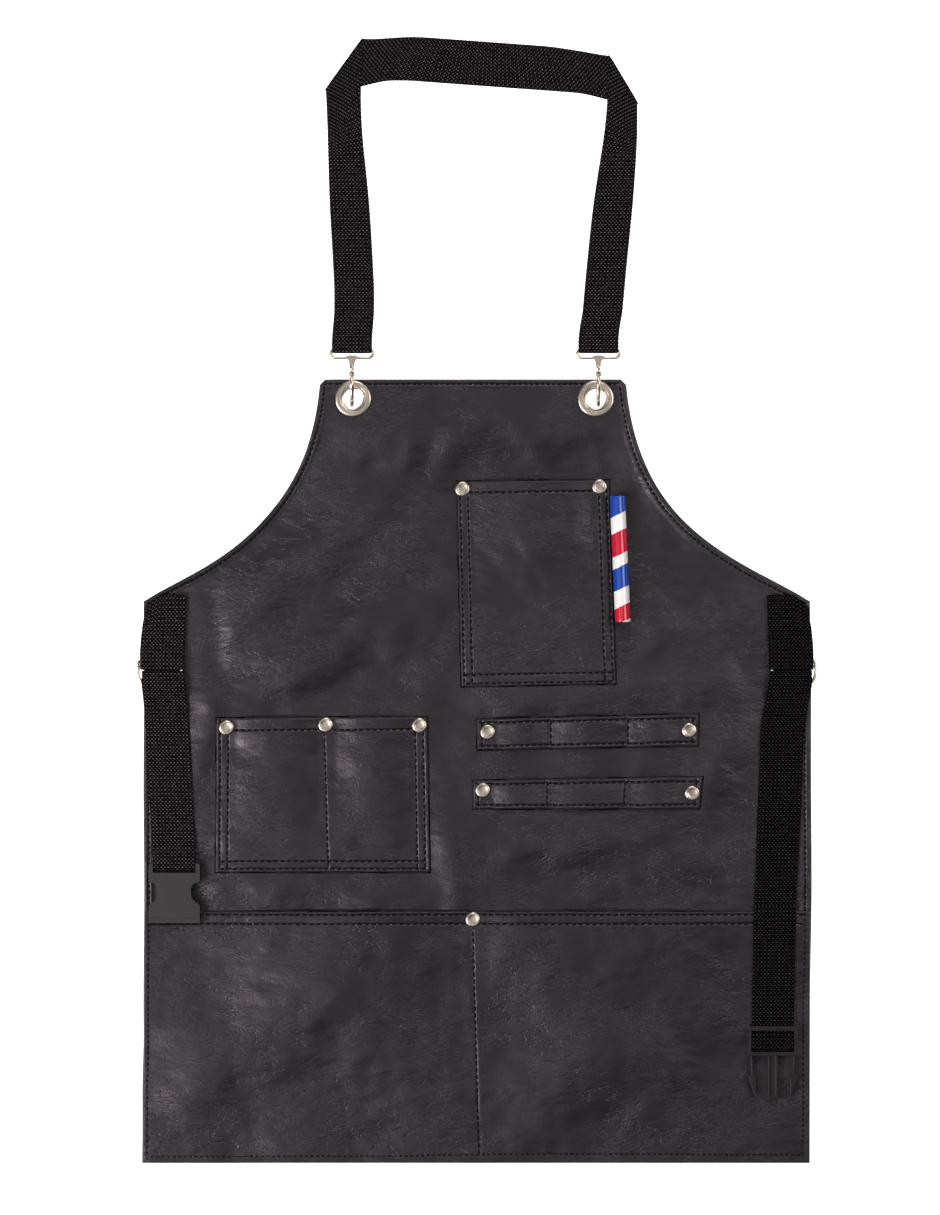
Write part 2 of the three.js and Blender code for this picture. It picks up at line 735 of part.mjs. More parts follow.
// ---- male half: a strap frame with a centre prong, and two arms that flex at their roots ----
function buckleFrame() {
  const { bar, top, foot, tip, z, low } = MALE;
  const half = 21.6;
  const inner = 19.3;
  const high = 11;
  const rails = [1, -1].map((s) =>
    solid(box(Math.min(s * inner, s * half), Math.max(s * inner, s * half), foot, top, low, high)),
  );
  const topBar = solid(box(-half, half, top - 4.4, top, 8.0, high));
  const footBar = solid(box(-half, half, foot, foot + 3.2, low, high));
  const strapBar = solid(cylinderX(BAR_R, -inner - 1, inner + 1, bar, z, 12));
  const prong = solid(box(-4.2, 4.2, tip, foot + 1, 6.2, 8.6));
  const flanges = [-1, 1].map((s) =>
    solid(box(s * 3.4 - 0.9, s * 3.4 + 0.9, tip + 4, foot + 1, 4.9, 9.9)),
  );
  return geometryOf(join(...rails, topBar, footBar, strapBar, prong, ...flanges));
}

const ARM_ROOT = [19.2, 96.7];
function buckleArm(side) {
  const outline = [
    [18.1, ARM_ROOT[1]],
    [17.4, 82],
    [15, 78],
    [14.9, 61],
    [16, 60.3],
    [22, 78.2],
    [21.7, 79.6],
    [19.6, 80],
    [20.1, ARM_ROOT[1]],
  ].map(([x, y]) => [side * x, y]);
  return plate(side < 0 ? outline : outline.reverse(), 4.9, 9.9);
}
add("buckle_frame", buckleFrame(), "plastic", MALE.x);
add("buckle_left_arm", buckleArm(-1), "plastic", MALE.x);
add("buckle_right_arm", buckleArm(1), "plastic", MALE.x);

const root = new THREE.Group();
root.add(apron);

export default root;
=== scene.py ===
import math

import bmesh
import bpy
import numpy as np
from bpy.props import FloatProperty, FloatVectorProperty, PointerProperty
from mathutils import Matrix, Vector


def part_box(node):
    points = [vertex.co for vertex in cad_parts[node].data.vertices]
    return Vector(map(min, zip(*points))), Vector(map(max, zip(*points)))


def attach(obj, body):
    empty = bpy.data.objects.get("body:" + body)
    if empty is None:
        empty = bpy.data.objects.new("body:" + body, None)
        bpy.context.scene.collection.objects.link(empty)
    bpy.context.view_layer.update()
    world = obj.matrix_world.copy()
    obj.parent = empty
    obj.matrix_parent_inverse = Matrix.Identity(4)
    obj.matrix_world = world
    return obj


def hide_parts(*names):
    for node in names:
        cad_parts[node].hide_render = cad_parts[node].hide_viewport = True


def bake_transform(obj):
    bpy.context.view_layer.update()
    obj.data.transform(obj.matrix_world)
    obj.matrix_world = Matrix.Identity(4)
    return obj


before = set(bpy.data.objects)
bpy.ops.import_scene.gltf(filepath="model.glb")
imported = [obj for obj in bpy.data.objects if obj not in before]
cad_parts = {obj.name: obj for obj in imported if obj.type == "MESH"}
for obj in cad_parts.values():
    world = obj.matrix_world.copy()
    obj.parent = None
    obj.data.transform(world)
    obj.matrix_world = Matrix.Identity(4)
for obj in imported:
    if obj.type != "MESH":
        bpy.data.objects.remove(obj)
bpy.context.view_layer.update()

bl_info = {
    "name": "Barber's apron",
    "version": (1, 0, 0),
    "blender": (4, 5, 0),
    "location": "3D View > Sidebar > Apron",
    "description": "Builds a faux-leather bib apron round its packed frame, piece by piece",
    "category": "Object",
}

# Lengths in the shape functions are millimetres, y measured from the bottom hem; MM turns them to metres.
MM = 0.001
HEM_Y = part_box("apron_body")[0].y

# The cut of the body, as the frame has it.
SKIRT_HALF = 298.0
SHOULDER_Y = 503.0
BIB_Y = 701.0
BIB_CORNER = 5.0
BIB_HALF = 136.8
BIB_SHIFT = -3.4
LIFT = 8.0
LEATHER_T = 1.25
HEM_T = 2.0
HOLE_R = 12.4
ARM_HANDLES = ((BIB_HALF, BIB_Y - BIB_CORNER), (150.0, 556.0), (258.0, 531.0), (297.0, SHOULDER_Y))
HEM_D = (0, 0.12, 0.35, 0.7, 1.2, 1.9, 2.7, 3.4, 4.0, 4.6, 5.2, 5.8, 6.4, 7.1, 7.9, 8.9, 10.6)
SEAM_IN = {"left": 4.5, "right": 5.8, "bottom": 6.3, "top": 4.2}

# Corners of the panels sewn to the body: bottom left, bottom right, top right, top left.
BOTTOM_POCKET = ((-298.6, 0.2), (297.9, 0.2), (298.4, 225.3), (-297.6, 225.3))
SIDE_POCKET = ((-233.8, 260.4), (-41.8, 260.4), (-44.3, 399.4), (-232.7, 398.4))
CHEST_POCKET = ((-13.7, 426.4), (124.6, 429.0), (118.5, 611.3), (-17.9, 610.0))
UPPER_LOOPS = ((0.6, 369.8), (198.0, 373.6), (198.7, 401.9), (-0.1, 397.4))
LOWER_LOOPS = ((-3.1, 317.2), (199.5, 317.2), (202.1, 345.8), (-3.4, 342.4))
LOOP_CELLS = ((0.088, 0.32), (0.345, 0.665), (0.69, 0.912))

RIVETS = {
    "chest_pocket_left_rivet": (-12.7, 603.2),
    "chest_pocket_right_rivet": (109.9, 605.2),
    "side_pocket_left_rivet": (-223.7, 389.9),
    "side_pocket_middle_rivet": (-135.2, 392.3),
    "side_pocket_right_rivet": (-51.2, 391.8),
    "upper_loop_left_rivet": (9.8, 385.9),
    "upper_loop_right_rivet": (190.1, 387.4),
    "lower_loop_left_rivet": (5.5, 333.8),
    "lower_loop_right_rivet": (192.8, 331.2),
    "bottom_pocket_rivet": (-3.4, 218.2),
}

EYELET_X = {"left": -110.4, "right": 106.4}
EYELET_Y = 683.7
HOOK_X = {"left": -111.4, "right": 108.6}
HOOK_Z = 10.75
EYE_BAR_Y = 44.3
WEB_T = 1.5
WEB_W = 37.3
LOOP_W = 36.4
D_X = 281.3
D_BAR_Y = 449.5
D_Z = 5.85
TUBE_LENGTH = 113.0
WEB_LOW = 3.2
ON_POCKET = 4.45


# ---------------------------------------------------------------- numbers
def clamp01(t):
    return np.clip(t, 0.0, 1.0)


def smooth(a, b, x):
    """0 at a, 1 at b, and 3t^2 - 2t^3 between them."""
    t = clamp01((np.asarray(x, float) - a) / (b - a))
    return t * t * (3 - 2 * t)


def lerp(a, b, t):
    return a + (b - a) * t


def bell(x, width):
    """A bell curve, exp(-(x / width)^2)."""
    return np.exp(-((x / width) ** 2))


def unit(v):
    return v / np.maximum(np.linalg.norm(v, axis=-1, keepdims=True), 1e-12)


def places(start, stop, step, fine=(), around=(0, 0.5, 1.0, 1.7, 2.8)):
    """Positions from start to stop about step apart, with closer ones around each fine position."""
    count = max(1, round((stop - start) / step))
    extra = [f + side * d for f in fine for d in around for side in (-1, 1)]
    wanted = sorted([*np.linspace(start, stop, count + 1)[1:-1], *[e for e in extra if start < e < stop]])
    kept = [start]
    for place in wanted:
        if place - kept[-1] >= 0.3 and stop - place >= 0.12:
            kept.append(place)
    return np.array([*kept, stop])


def waves(x, y, seed, scale, count=9):
    """A sum of plane waves of about that wavelength, in drawn directions and phases: about -1 to 1."""
    draw = np.random.default_rng(seed)
    angle = draw.uniform(0, math.pi, count)
    phase = draw.uniform(0, 2 * math.pi, count)
    length = scale * draw.uniform(0.6, 1.7, count)
    total = 0.0
    for a, p, f in zip(angle, phase, 2 * math.pi / length):
        total = total + np.sin(f * (x * math.cos(a) + y * math.sin(a)) + p)
    return total / math.sqrt(count) / 1.4


def to_segment(x, y, a, b):
    """The distance from each point to the segment from a to b."""
    dx, dy = b[0] - a[0], b[1] - a[1]
    t = clamp01(((x - a[0]) * dx + (y - a[1]) * dy) / max(dx * dx + dy * dy, 1e-9))
    return np.hypot(x - a[0] - t * dx, y - a[1] - t * dy)


def to_lines(x, y, lines):
    """The distance from each point to the nearest of the lines, each a row of [x, y] points."""
    nearest = np.full(np.shape(x), 1e9)
    for line in lines:
        for a, b in zip(line[:-1], line[1:]):
            nearest = np.minimum(nearest, to_segment(x, y, a, b))
    return nearest


def resampled(path, step):
    """A path again with points about step apart, on a Catmull-Rom curve through the given ones."""
    p = np.asarray(path, float)
    padded = np.concatenate([[2 * p[0] - p[1]], p, [2 * p[-1] - p[-2]]])
    out = []
    for k in range(len(p) - 1):
        a, b, c, d = padded[k : k + 4]
        n = max(1, round(float(np.linalg.norm(c - b)) / step))
        t = (np.arange(n) / n)[:, None]
        cubic = 2 * b + (c - a) * t + (2 * a - 5 * b + 4 * c - d) * t**2 + (3 * b - a - 3 * c + d) * t**3
        out.append(0.5 * cubic)
    return np.concatenate([*out, p[-1:]])


def evened(path, step):
    """A path again with straight runs between its points, and points evenly about step apart."""
    p = np.asarray(path, float)
    s = np.concatenate([[0], np.cumsum(np.linalg.norm(np.diff(p, axis=0), axis=1))])
    at = np.linspace(0, s[-1], max(2, round(s[-1] / step) + 1))
    return np.stack([np.interp(at, s, p[:, k]) for k in range(p.shape[1])], -1)


def arc(y, z, r, start, stop, steps):
    """Points on an arc, angles in degrees from +y towards +z."""
    a = np.radians(np.linspace(start, stop, steps + 1))
    return np.stack([y + r * np.cos(a), z + r * np.sin(a)], -1)


# ---------------------------------------------------------------- meshes
def grid_quads(nu, nv, close_u=False, close_v=False):
    """The quads of a grid of nu by nv points, point (i, j) being i * nv + j."""
    rows, columns = np.arange(nu if close_u else nu - 1), np.arange(nv if close_v else nv - 1)
    i, j = np.meshgrid(rows, columns, indexing="ij")
    i2, j2 = (i + 1) % nu, (j + 1) % nv
    return np.stack([i * nv + j, i2 * nv + j, i2 * nv + j2, i * nv + j2], axis=-1).reshape(-1, 4)


def new_piece(name, points, quads, materials, uv=None, slots=None):
    """A smooth-shaded mesh from points in millimetres, four-cornered faces and a (u, v) at each point."""
    mesh = bpy.data.meshes.new(name)
    world = np.asarray(points, float).reshape(-1, 3) * MM
    world[:, 1] += HEM_Y
    quads = np.asarray(quads, np.int32)
    mesh.vertices.add(len(world))
    mesh.vertices.foreach_set("co", world.astype(np.float32).ravel())
    mesh.loops.add(quads.size)
    mesh.loops.foreach_set("vertex_index", quads.ravel())
    mesh.polygons.add(len(quads))
    mesh.polygons.foreach_set("loop_start", np.arange(0, quads.size, 4, dtype=np.int32))
    if uv is not None:
        layer = mesh.uv_layers.new(name="Lay")
        layer.data.foreach_set("uv", np.asarray(uv, np.float32).reshape(-1, 2)[quads.ravel()].ravel())
    for material in materials:
        mesh.materials.append(material)
    if slots is not None:
        mesh.polygons.foreach_set("material_index", np.asarray(slots, np.int32))
    mesh.update(calc_edges=True)
    mesh.polygons.foreach_set("use_smooth", np.ones(len(quads), bool))
    piece = bpy.data.objects.new(name, mesh)
    bpy.context.scene.collection.objects.link(piece)
    return piece


def shell(name, top, bottom, materials, uv=None, back_slot=0, kept=None, rim_slot=0):
    """A closed sheet between a top and a bottom grid of one shape, joined along every edge left open.
    kept says which cells of the grid are there."""
    nu, nv = top.shape[:2]
    n = nu * nv
    upper = grid_quads(nu, nv)
    if kept is not None:
        upper = upper[kept.reshape(-1)]
    lower = upper[:, ::-1] + n
    a = upper.ravel()
    b = np.roll(upper, -1, axis=1).ravel()
    alone = ~np.isin(a.astype(np.int64) * n + b, b.astype(np.int64) * n + a)
    a, b = a[alone], b[alone]
    rim = np.stack([b, a, a + n, b + n], axis=-1)
    quads = np.concatenate([upper, lower, rim])
    points = np.concatenate([top.reshape(-1, 3), bottom.reshape(-1, 3)])
    slots = np.zeros(len(quads), int)
    slots[len(upper) : 2 * len(upper)] = back_slot
    slots[2 * len(upper) :] = rim_slot
    if uv is not None:
        uv = np.concatenate([uv.reshape(-1, 2)] * 2)
    used, index = np.unique(quads, return_inverse=True)
    uv = None if uv is None else uv[used]
    return new_piece(name, points[used], index.reshape(-1, 4), materials, uv, slots)


def swept(path, radius, sides=16, closed=False, flat=(1.0, 1.0), power=2.0, up=(1, 0, 0), blunt=0.5):
    """A bar along a path. Across it stands the superellipse |a|^power + |b|^power = 1, its first axis kept
    near up and scaled by radius * flat[0], its second by radius * flat[1]. Open ends close over a quarter
    round, blunt times as long as the radius."""
    path = np.asarray(path, float)
    radius = np.broadcast_to(np.asarray(radius, float), len(path)).copy()
    if not closed:
        turn = np.radians([2, 25, 50, 70])
        first, last = unit(path[1] - path[0]), unit(path[-1] - path[-2])
        head = path[0] - first * radius[0] * blunt * np.cos(turn)[:, None]
        tail = path[-1] + last * radius[-1] * blunt * np.cos(turn[::-1])[:, None]
        path = np.concatenate([head, path, tail])
        radius = np.concatenate([radius[0] * np.sin(turn), radius, radius[-1] * np.sin(turn[::-1])])
        ahead = unit(np.gradient(path, axis=0))
    else:
        ahead = unit(np.roll(path, -1, axis=0) - np.roll(path, 1, axis=0))
    up = np.asarray(up, float)
    first = unit(up - ahead * (ahead @ up)[:, None])
    second = np.cross(ahead, first)
    angle = np.linspace(0, 2 * math.pi, sides, endpoint=False) + math.pi / sides
    c, s = np.cos(angle), np.sin(angle)
    a = np.sign(c) * np.abs(c) ** (2 / power) * flat[0]
    b = np.sign(s) * np.abs(s) ** (2 / power) * flat[1]
    across = a[None, :, None] * first[:, None] + b[None, :, None] * second[:, None]
    points = path[:, None] + radius[:, None, None] * across
    quads = grid_quads(len(path), sides, close_u=closed, close_v=True)[:, ::-1]
    if not closed:
        k = np.arange(sides // 2 - 1)
        stop = np.stack([k, k + 1, sides - 2 - k, sides - 1 - k], axis=-1)
        quads = np.concatenate([quads, stop[:, ::-1], stop + (len(path) - 1) * sides])
    return points.reshape(-1, 3), quads


def turned(profile, sides, centre, ends=False):
    """A profile of [radius, height] points turned about a vertical axis through centre. A closed profile
    makes a ring; ends says that it starts and stops on the axis, where a fan of faces closes it."""
    r, h = np.asarray(profile, float).T
    if not ends:
        r, h = r[:-1], h[:-1]
    angle = np.linspace(0, 2 * math.pi, sides, endpoint=False)
    ring = [r[:, None] * np.cos(angle), r[:, None] * np.sin(angle), np.repeat(h[:, None], sides, 1)]
    points = np.stack(ring, -1) + np.asarray(centre, float)
    quads = grid_quads(len(r), sides, close_u=not ends, close_v=True)[:, ::-1]
    if ends:
        k = np.arange(sides // 2 - 1)
        fan = np.stack([k, k + 1, sides - 2 - k, sides - 1 - k], axis=-1)
        quads = np.concatenate([quads, fan[:, ::-1], fan + (len(r) - 1) * sides])
    return points.reshape(-1, 3), quads


def block(low, high, power=8.0, steps=12):
    """A box with rounded edges: a cube's grid whose points move out to the surface |x|^power + |y|^power +
    |z|^power = 1, then stretch to the box."""
    t = np.tan(np.linspace(-1, 1, steps + 1) * math.pi / 4)
    a, b = np.meshgrid(t, t, indexing="ij")
    one = np.ones_like(a)
    faces = [(a, b, one), (b, a, -one), (one, a, b), (-one, b, a), (b, one, a), (a, -one, b)]
    points = np.concatenate([np.stack(f, -1).reshape(-1, 3) for f in faces])
    points = points / np.sum(np.abs(points) ** power, axis=1, keepdims=True) ** (1 / power)
    quads = np.concatenate([grid_quads(steps + 1, steps + 1) + k * (steps + 1) ** 2 for k in range(6)])
    whole, index = np.unique(np.round(points, 6), axis=0, return_inverse=True)
    low, high = np.asarray(low, float), np.asarray(high, float)
    return (low + high) / 2 + whole * (high - low) / 2, index.reshape(-1)[quads]


def quarter_rounds(corners, z, steps, step):
    """A closed path over quarter rounds, each a centre x and y, a radius and a first angle."""
    out = []
    for cx, cy, r, turn in corners:
        a = np.radians(turn + np.linspace(0, 90, steps + 1))
        out.append(np.stack([cx + r * np.cos(a), cy + r * np.sin(a), np.full(steps + 1, z)], -1))
    path = np.concatenate(out)
    return evened(np.concatenate([path, path[:1]]), step)[:-1]


def joined(*parts):
    """Several (points, quads) as one."""
    points, quads, start = [], [], 0
    for p, q in parts:
        points.append(p)
        quads.append(q + start)
        start += len(p)
    return np.concatenate(points), np.concatenate(quads)


# ---------------------------------------------------------------- how the leather lies
# Long soft folds: start, end, width and height of a ridge, or of a hollow where the height is negative.
# Every height is multiplied by FOLD_GAIN.
FOLD_GAIN = 1.8
FOLDS = (
    ((-130, 560), (10, 690), 24, 2.6),
    ((-60, 600), (-20, 700), 12, -1.5),
    ((-150, 600), (-70, 660), 16, 1.4),
    ((20, 690), (60, 630), 14, 1.2),
    ((-240, 470), (-120, 560), 26, 2.4),
    ((-215, 420), (-20, 505), 30, 2.6),
    ((-190, 405), (-60, 440), 13, -1.2),
    ((-235, 520), (-232, 440), 11, -1.3),
    ((-120, 470), (-40, 580), 18, 1.5),
    ((140, 470), (255, 500), 20, 2.0),
    ((150, 560), (215, 470), 18, -1.6),
    ((135, 640), (200, 560), 14, 1.2),
    ((20, 415), (240, 432), 16, 1.6),
    ((236, 500), (240, 430), 10, -1.0),
    ((-28, 330), (-19, 232), 13, 1.1),
    ((-15, 300), (235, 262), 22, 2.0),
    ((60, 255), (240, 300), 14, -1.2),
    ((-250, 250), (-60, 236), 14, 1.2),
    ((205, 330), (245, 420), 18, 1.6),
    ((-270, 60), (-90, 190), 36, 1.8),
    ((-200, 40), (-40, 60), 24, -1.0),
    ((40, 60), (250, 150), 38, 1.8),
    ((90, 180), (230, 90), 18, -1.0),
    ((-255, 330), (-238, 420), 12, 1.3),
    ((-10, 600), (62, 505), 15, -1.6),
    ((20, 560), (110, 470), 17, 1.3),
    ((-220, 350), (-150, 290), 16, 0.9),
)
# Where hardware presses the leather flat: start, end and reach.
PRESSED = (
    ((-D_X, 420), (-D_X, 505), 34),
    ((D_X, 420), (D_X, 505), 34),
    ((-269.8, 215), (-269.8, 290), 40),
    ((264.6, 60), (264.6, 130), 40),
    ((125.6, 597), (130.5, 484), 22),
)


def ridge(x, y, a, b, width, height):
    """A bell-shaped ridge about the segment from a to b, bent a little and faded out over its ends."""
    dx, dy = b[0] - a[0], b[1] - a[1]
    t = ((x - a[0]) * dx + (y - a[1]) * dy) / (dx * dx + dy * dy)
    off = ((x - a[0]) * dy - (y - a[1]) * dx) / math.hypot(dx, dy)
    ends = smooth(-0.25, 0.25, t) * (1 - smooth(0.75, 1.25, t))
    return height * bell(off + 0.16 * width * np.sin(5 * t + a[0]), width) * ends


def lie(x, y):
    """How far the leather lies above a flat table: slow waves and soft folds, less under the hardware."""
    x, y = np.asarray(x, float), np.asarray(y, float)
    total = 0.6 + 0.5 * waves(x, y, 3, 190) + 0.3 * waves(x, y, 8, 62) + 0.09 * waves(x, y, 5, 27)
    for a, b, width, height in FOLDS:
        total = total + FOLD_GAIN * ridge(x, y, a, b, width, height)
    total = np.maximum(0.0, total) * (1 - 0.85 * smooth(640, 680, y))
    for a, b, reach in PRESSED:
        total = total * (1 - 0.9 * bell(to_segment(x, y, a, b), reach))
    return total * (bpy.context.scene.apron_settings.fold_height / 0.001)


def ground(x, y):
    """The height of the body's upper face away from its hem."""
    return 1.9 + LIFT * smooth(612, 670, y) + lie(x, y)


def arm_curve():
    """Points up the arm's cubic Bezier curve, as [half width, y]."""
    t = np.linspace(1, 0, 241)[:, None]
    p = [np.array(h) for h in ARM_HANDLES]
    return (1 - t) ** 3 * p[0] + 3 * (1 - t) ** 2 * t * p[1] + 3 * (1 - t) * t**2 * p[2] + t**3 * p[3]


ARM = arm_curve()


def half_width(y):
    """Half the body's width at a height: straight skirt, arm curve, and the bib's cut corners."""
    curve = np.interp(y, ARM[:, 1], ARM[:, 0])
    top = BIB_HALF - (y - (BIB_Y - BIB_CORNER))
    return np.where(y <= SHOULDER_Y, SKIRT_HALF, np.where(y >= BIB_Y - BIB_CORNER, top, curve))


def sides(y):
    """The body's left and right edge at a height, with the small sways of cut leather."""
    y = np.asarray(y, float)
    middle = BIB_SHIFT * smooth(520, 590, y)
    half = half_width(y)
    left = middle - half - 1.5 * (1 - smooth(60, 120, y)) + 0.3 * np.sin(y / 31.0)
    right = middle + half - 1.2 * (1 - smooth(0, 70, y)) + 0.3 * np.sin(y / 37.0 + 1)
    return left, right + 1.5 * smooth(90, 250, y) * (1 - smooth(440, 500, y))


def hem_sway(x):
    """How far the bottom edge rises above a straight line."""
    return 2.4 * smooth(-110, 60, x) * (1 - 0.4 * smooth(150, 240, x))


def steepness(y):
    """How much longer than its height a stretch of the side edge is: sqrt(1 + (dx/dy)^2)."""
    slope = np.gradient(half_width(y), y)
    return np.sqrt(1 + np.minimum(np.abs(slope), 2.2) ** 2)


def over_edge(d, r=LEATHER_T):
    """The height lost where a sheet turns over a round edge of radius r, at a distance d from it."""
    return -r * (1 - np.sqrt(np.maximum(0.0, 1 - (1 - clamp01(d / r)) ** 2)))


def hem_height(d, seam):
    """The upper face across a turned hem, at d from its edge: rounded, puffed and pinched by the seam."""
    puffs = 0.35 * bell(d - seam + 2.3, 1.5) + 0.18 * bell(d - seam - 1.9, 1.2)
    return over_edge(d) + puffs - 0.8 * bell(d - seam, 0.75) - 0.45 * smooth(seam + 2.2, seam + 5, d)


# ---------------------------------------------------------------- the pieces
def settle(piece, body, node):
    """Says which body a piece rides on and which of the frame's nodes it stands for."""
    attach(piece, body)
    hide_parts(node)


def recolour(node, material):
    """Gives a node that is drawn as the frame has it one of this script's materials."""
    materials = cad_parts[node].data.materials
    materials.clear()
    materials.append(material)


def make_body(mats):
    """The body: rows and columns lie close in the hems, and round holes are left for the eyelets."""
    rows = np.concatenate([HEM_D, places(10.6, BIB_Y - 10.6, 3.9, (SHOULDER_Y,), (0, 1.5, 3))[1:-1]])
    rows = np.concatenate([rows, BIB_Y - np.array(HEM_D[::-1])])
    k = steepness(rows)[None]
    left, right = (edge[None] for edge in sides(rows))
    d = np.array(HEM_D)[:, None]
    share = np.linspace(0, 1, 150)[1:-1, None]
    inner_l, inner_r = left + d[-1] * k, right - d[-1] * k
    x = np.concatenate([left + d * k, lerp(inner_l, inner_r, share), right - d[::-1] * k])
    y = np.broadcast_to(rows, x.shape)
    y = y + hem_sway(x) * (1 - smooth(0, 60, y))
    k = np.broadcast_to(k, x.shape)
    # In the order of SEAM_IN: left, right, bottom, top.
    away = np.stack([(x - left) / k, (right - x) / k, y - hem_sway(x), BIB_Y - y])
    seam = np.array(list(SEAM_IN.values()))[np.argmin(away, axis=0)]
    distance = np.maximum(away.min(axis=0), 0)
    top = ground(x, y) + hem_height(distance, seam)
    thick = lerp(LEATHER_T, HEM_T, 1 - smooth(seam + 2, seam + 5, distance))
    low = np.maximum(ground(x, y) - thick - 0.1 + 0.9 * bell(distance, 0.7), 0.05)
    kept = np.ones(np.array(x.shape) - 1, bool)
    middle_x = (x[:-1, :-1] + x[1:, 1:]) / 2
    middle_y = (y[:-1, :-1] + y[1:, 1:]) / 2
    for cx in EYELET_X.values():
        kept &= np.hypot(middle_x - cx, middle_y - EYELET_Y) > HOLE_R
    points = [np.stack([x, y, z], -1) for z in (top, low)]
    uv = np.stack([x, y], -1)
    piece = shell("leather_body", *points, [mats["leather"], mats["lining"]], uv, back_slot=1, kept=kept)
    settle(piece, "apron", "apron_body")
    return piece


class Panel:
    """A panel sewn to the body. corners run bottom left, bottom right, top right, top left. Over each cell,
    given as shares of the width, it arches like a sine that rises by swell towards the mouth."""

    def __init__(self, corners, cells, swell, seams, start=0.07):
        self.corners = [np.array(c, float) for c in corners]
        bl, br, _, tl = self.corners
        self.width = np.linalg.norm(br - bl)
        self.height = np.linalg.norm(tl - bl)
        self.cells, self.swell, self.start = cells, swell, start
        self.seams = [[self.at(a, b) for a, b in seam] for seam in seams(self.width, self.height)]

    def at(self, a, b):
        """The point that is a along the bottom and b up the side."""
        bl, br, tr, tl = self.corners
        u = np.asarray(a / self.width)[..., None]
        v = np.asarray(b / self.height)[..., None]
        return lerp(lerp(bl, br, u), lerp(tl, tr, u), v)

    def height_at(self, a, b):
        """The upper face: the ground, one layer, the arches, the turned edges and the seams."""
        spot = self.at(a, b)
        x, y = spot[..., 0], spot[..., 1]
        u, v = a / self.width, b / self.height
        arch = np.zeros(np.shape(x))
        for low, high in self.cells:
            inside = clamp01((u - low) / (high - low))
            arch = arch + np.sin(math.pi * inside) ** 0.9
        mouth = smooth(self.start, 0.75, v) if self.start else np.ones(np.shape(v))
        edge = np.minimum(np.minimum(a, self.width - a), np.minimum(b, self.height - b))
        puff = 0.25 * bell(edge - 1.6, 1.4) + 0.12 * waves(x, y, 21, 34)
        seam = -0.8 * bell(to_lines(x, y, self.seams), 0.75)
        return ground(x, y) + 1.35 + self.swell * mouth * arch + puff * (edge > 0) + seam + over_edge(edge)


def build_panel(node, panel, mats):
    """One panel sewn to the body, its grid finer on the small ones and closer along its edges and seams."""
    step = 3.6 if node == "bottom_pocket" else 2.2
    fine_a, fine_b = close_places(node, panel.width, panel.height)
    a = places(0, panel.width, step, (0, panel.width, *fine_a))
    b = places(0, panel.height, step, (0, panel.height, *fine_b))
    a, b = np.meshgrid(a, b, indexing="ij")
    spot = panel.at(a, b)
    top = panel.height_at(a, b)
    edge = np.minimum(np.minimum(a, panel.width - a), np.minimum(b, panel.height - b))
    low = top - LEATHER_T - over_edge(edge) * 0.9
    # The raw edge slopes out a little under the turned one, so that its near-black rim shows from above as a
    # painted shadow line round the panel.
    aside = 0.0 if node == "bottom_pocket" else 0.9
    beyond_a = aside * ((a >= panel.width).astype(float) - (a <= 0))
    beyond_b = 0.9 * (b >= panel.height) - aside * (b <= 0)
    under = panel.at(a + beyond_a, b + beyond_b)
    upper = np.concatenate([spot, top[..., None]], -1)
    lower = np.concatenate([under, low[..., None]], -1)
    looks = [mats[name] for name in ("leather", "lining", "cut_edge")]
    piece = shell("leather_" + node, upper, lower, looks, spot, back_slot=1, rim_slot=2)
    settle(piece, "apron", node)


# The seams of each kind of panel, as lines of (along, up) points from its bottom left corner.
def side_pocket_seams(w, h):
    lines = [[(3.6, h - 0.6), (3.6, 3)], [(10.7, h - 1), (10.7, 3)]]
    lines += [[(w - 11.2, h - 1), (w - 11.2, 3)], [(w - 4.1, h - 0.6), (w - 4.1, 3)]]
    lines += [[(3, 9.9), (w - 3, 9.9)], [(3, 3.2), (w - 3, 3.2)]]
    return [*lines, [(3, h - 11), (w - 3, h - 11)], [(98.0, h - 6), (101.0, 4)]]


def chest_pocket_seams(w, h):
    lines = [[(d, h - 1), (d, 2.5)] for d in (2.7, 9.8, w - 9.8, w - 2.7)]
    lines += [[(3, h - 10), (w - 3, h - 10)]]
    return [*lines, [(2.7, 10.4), (w - 2.7, 10.4)], [(2.7, 2.4), (w - 2.7, 2.4)]]


def bottom_pocket_seams(w, h):
    return [[(5, h - d), (w - 5, h - d)] for d in (2.7, 10.9)] + [[(294.4, h - 16.8), (300.6, 7.0)]]


def loop_seams(w, h):
    rows = [[(2, h - 3.4), (w - 2, h - 3.4)], [(2, 3.4), (w - 2, 3.4)]]
    return [*rows, *[[(d, h - 2), (d, 2)] for d in (4.6, 66.0, 134.6, w - 5)]]


def close_places(node, w, h):
    """Where a panel's grid runs closer, along and up, so that it can follow the seams."""
    if node == "bottom_pocket":
        return (297.5,), (h - 2.7, h - 10.9)
    if node == "side_pocket":
        return (3.6, 10.7, w - 11.2, w - 4.1, 99.5), (3.2, 9.9, h - 11)
    if node == "chest_pocket":
        return (2.7, 9.8, w - 9.8, w - 2.7), (2.4, 10.4, h - 10)
    return (4.6, 66.0, 134.6, w - 5), (3.4, h - 3.4)


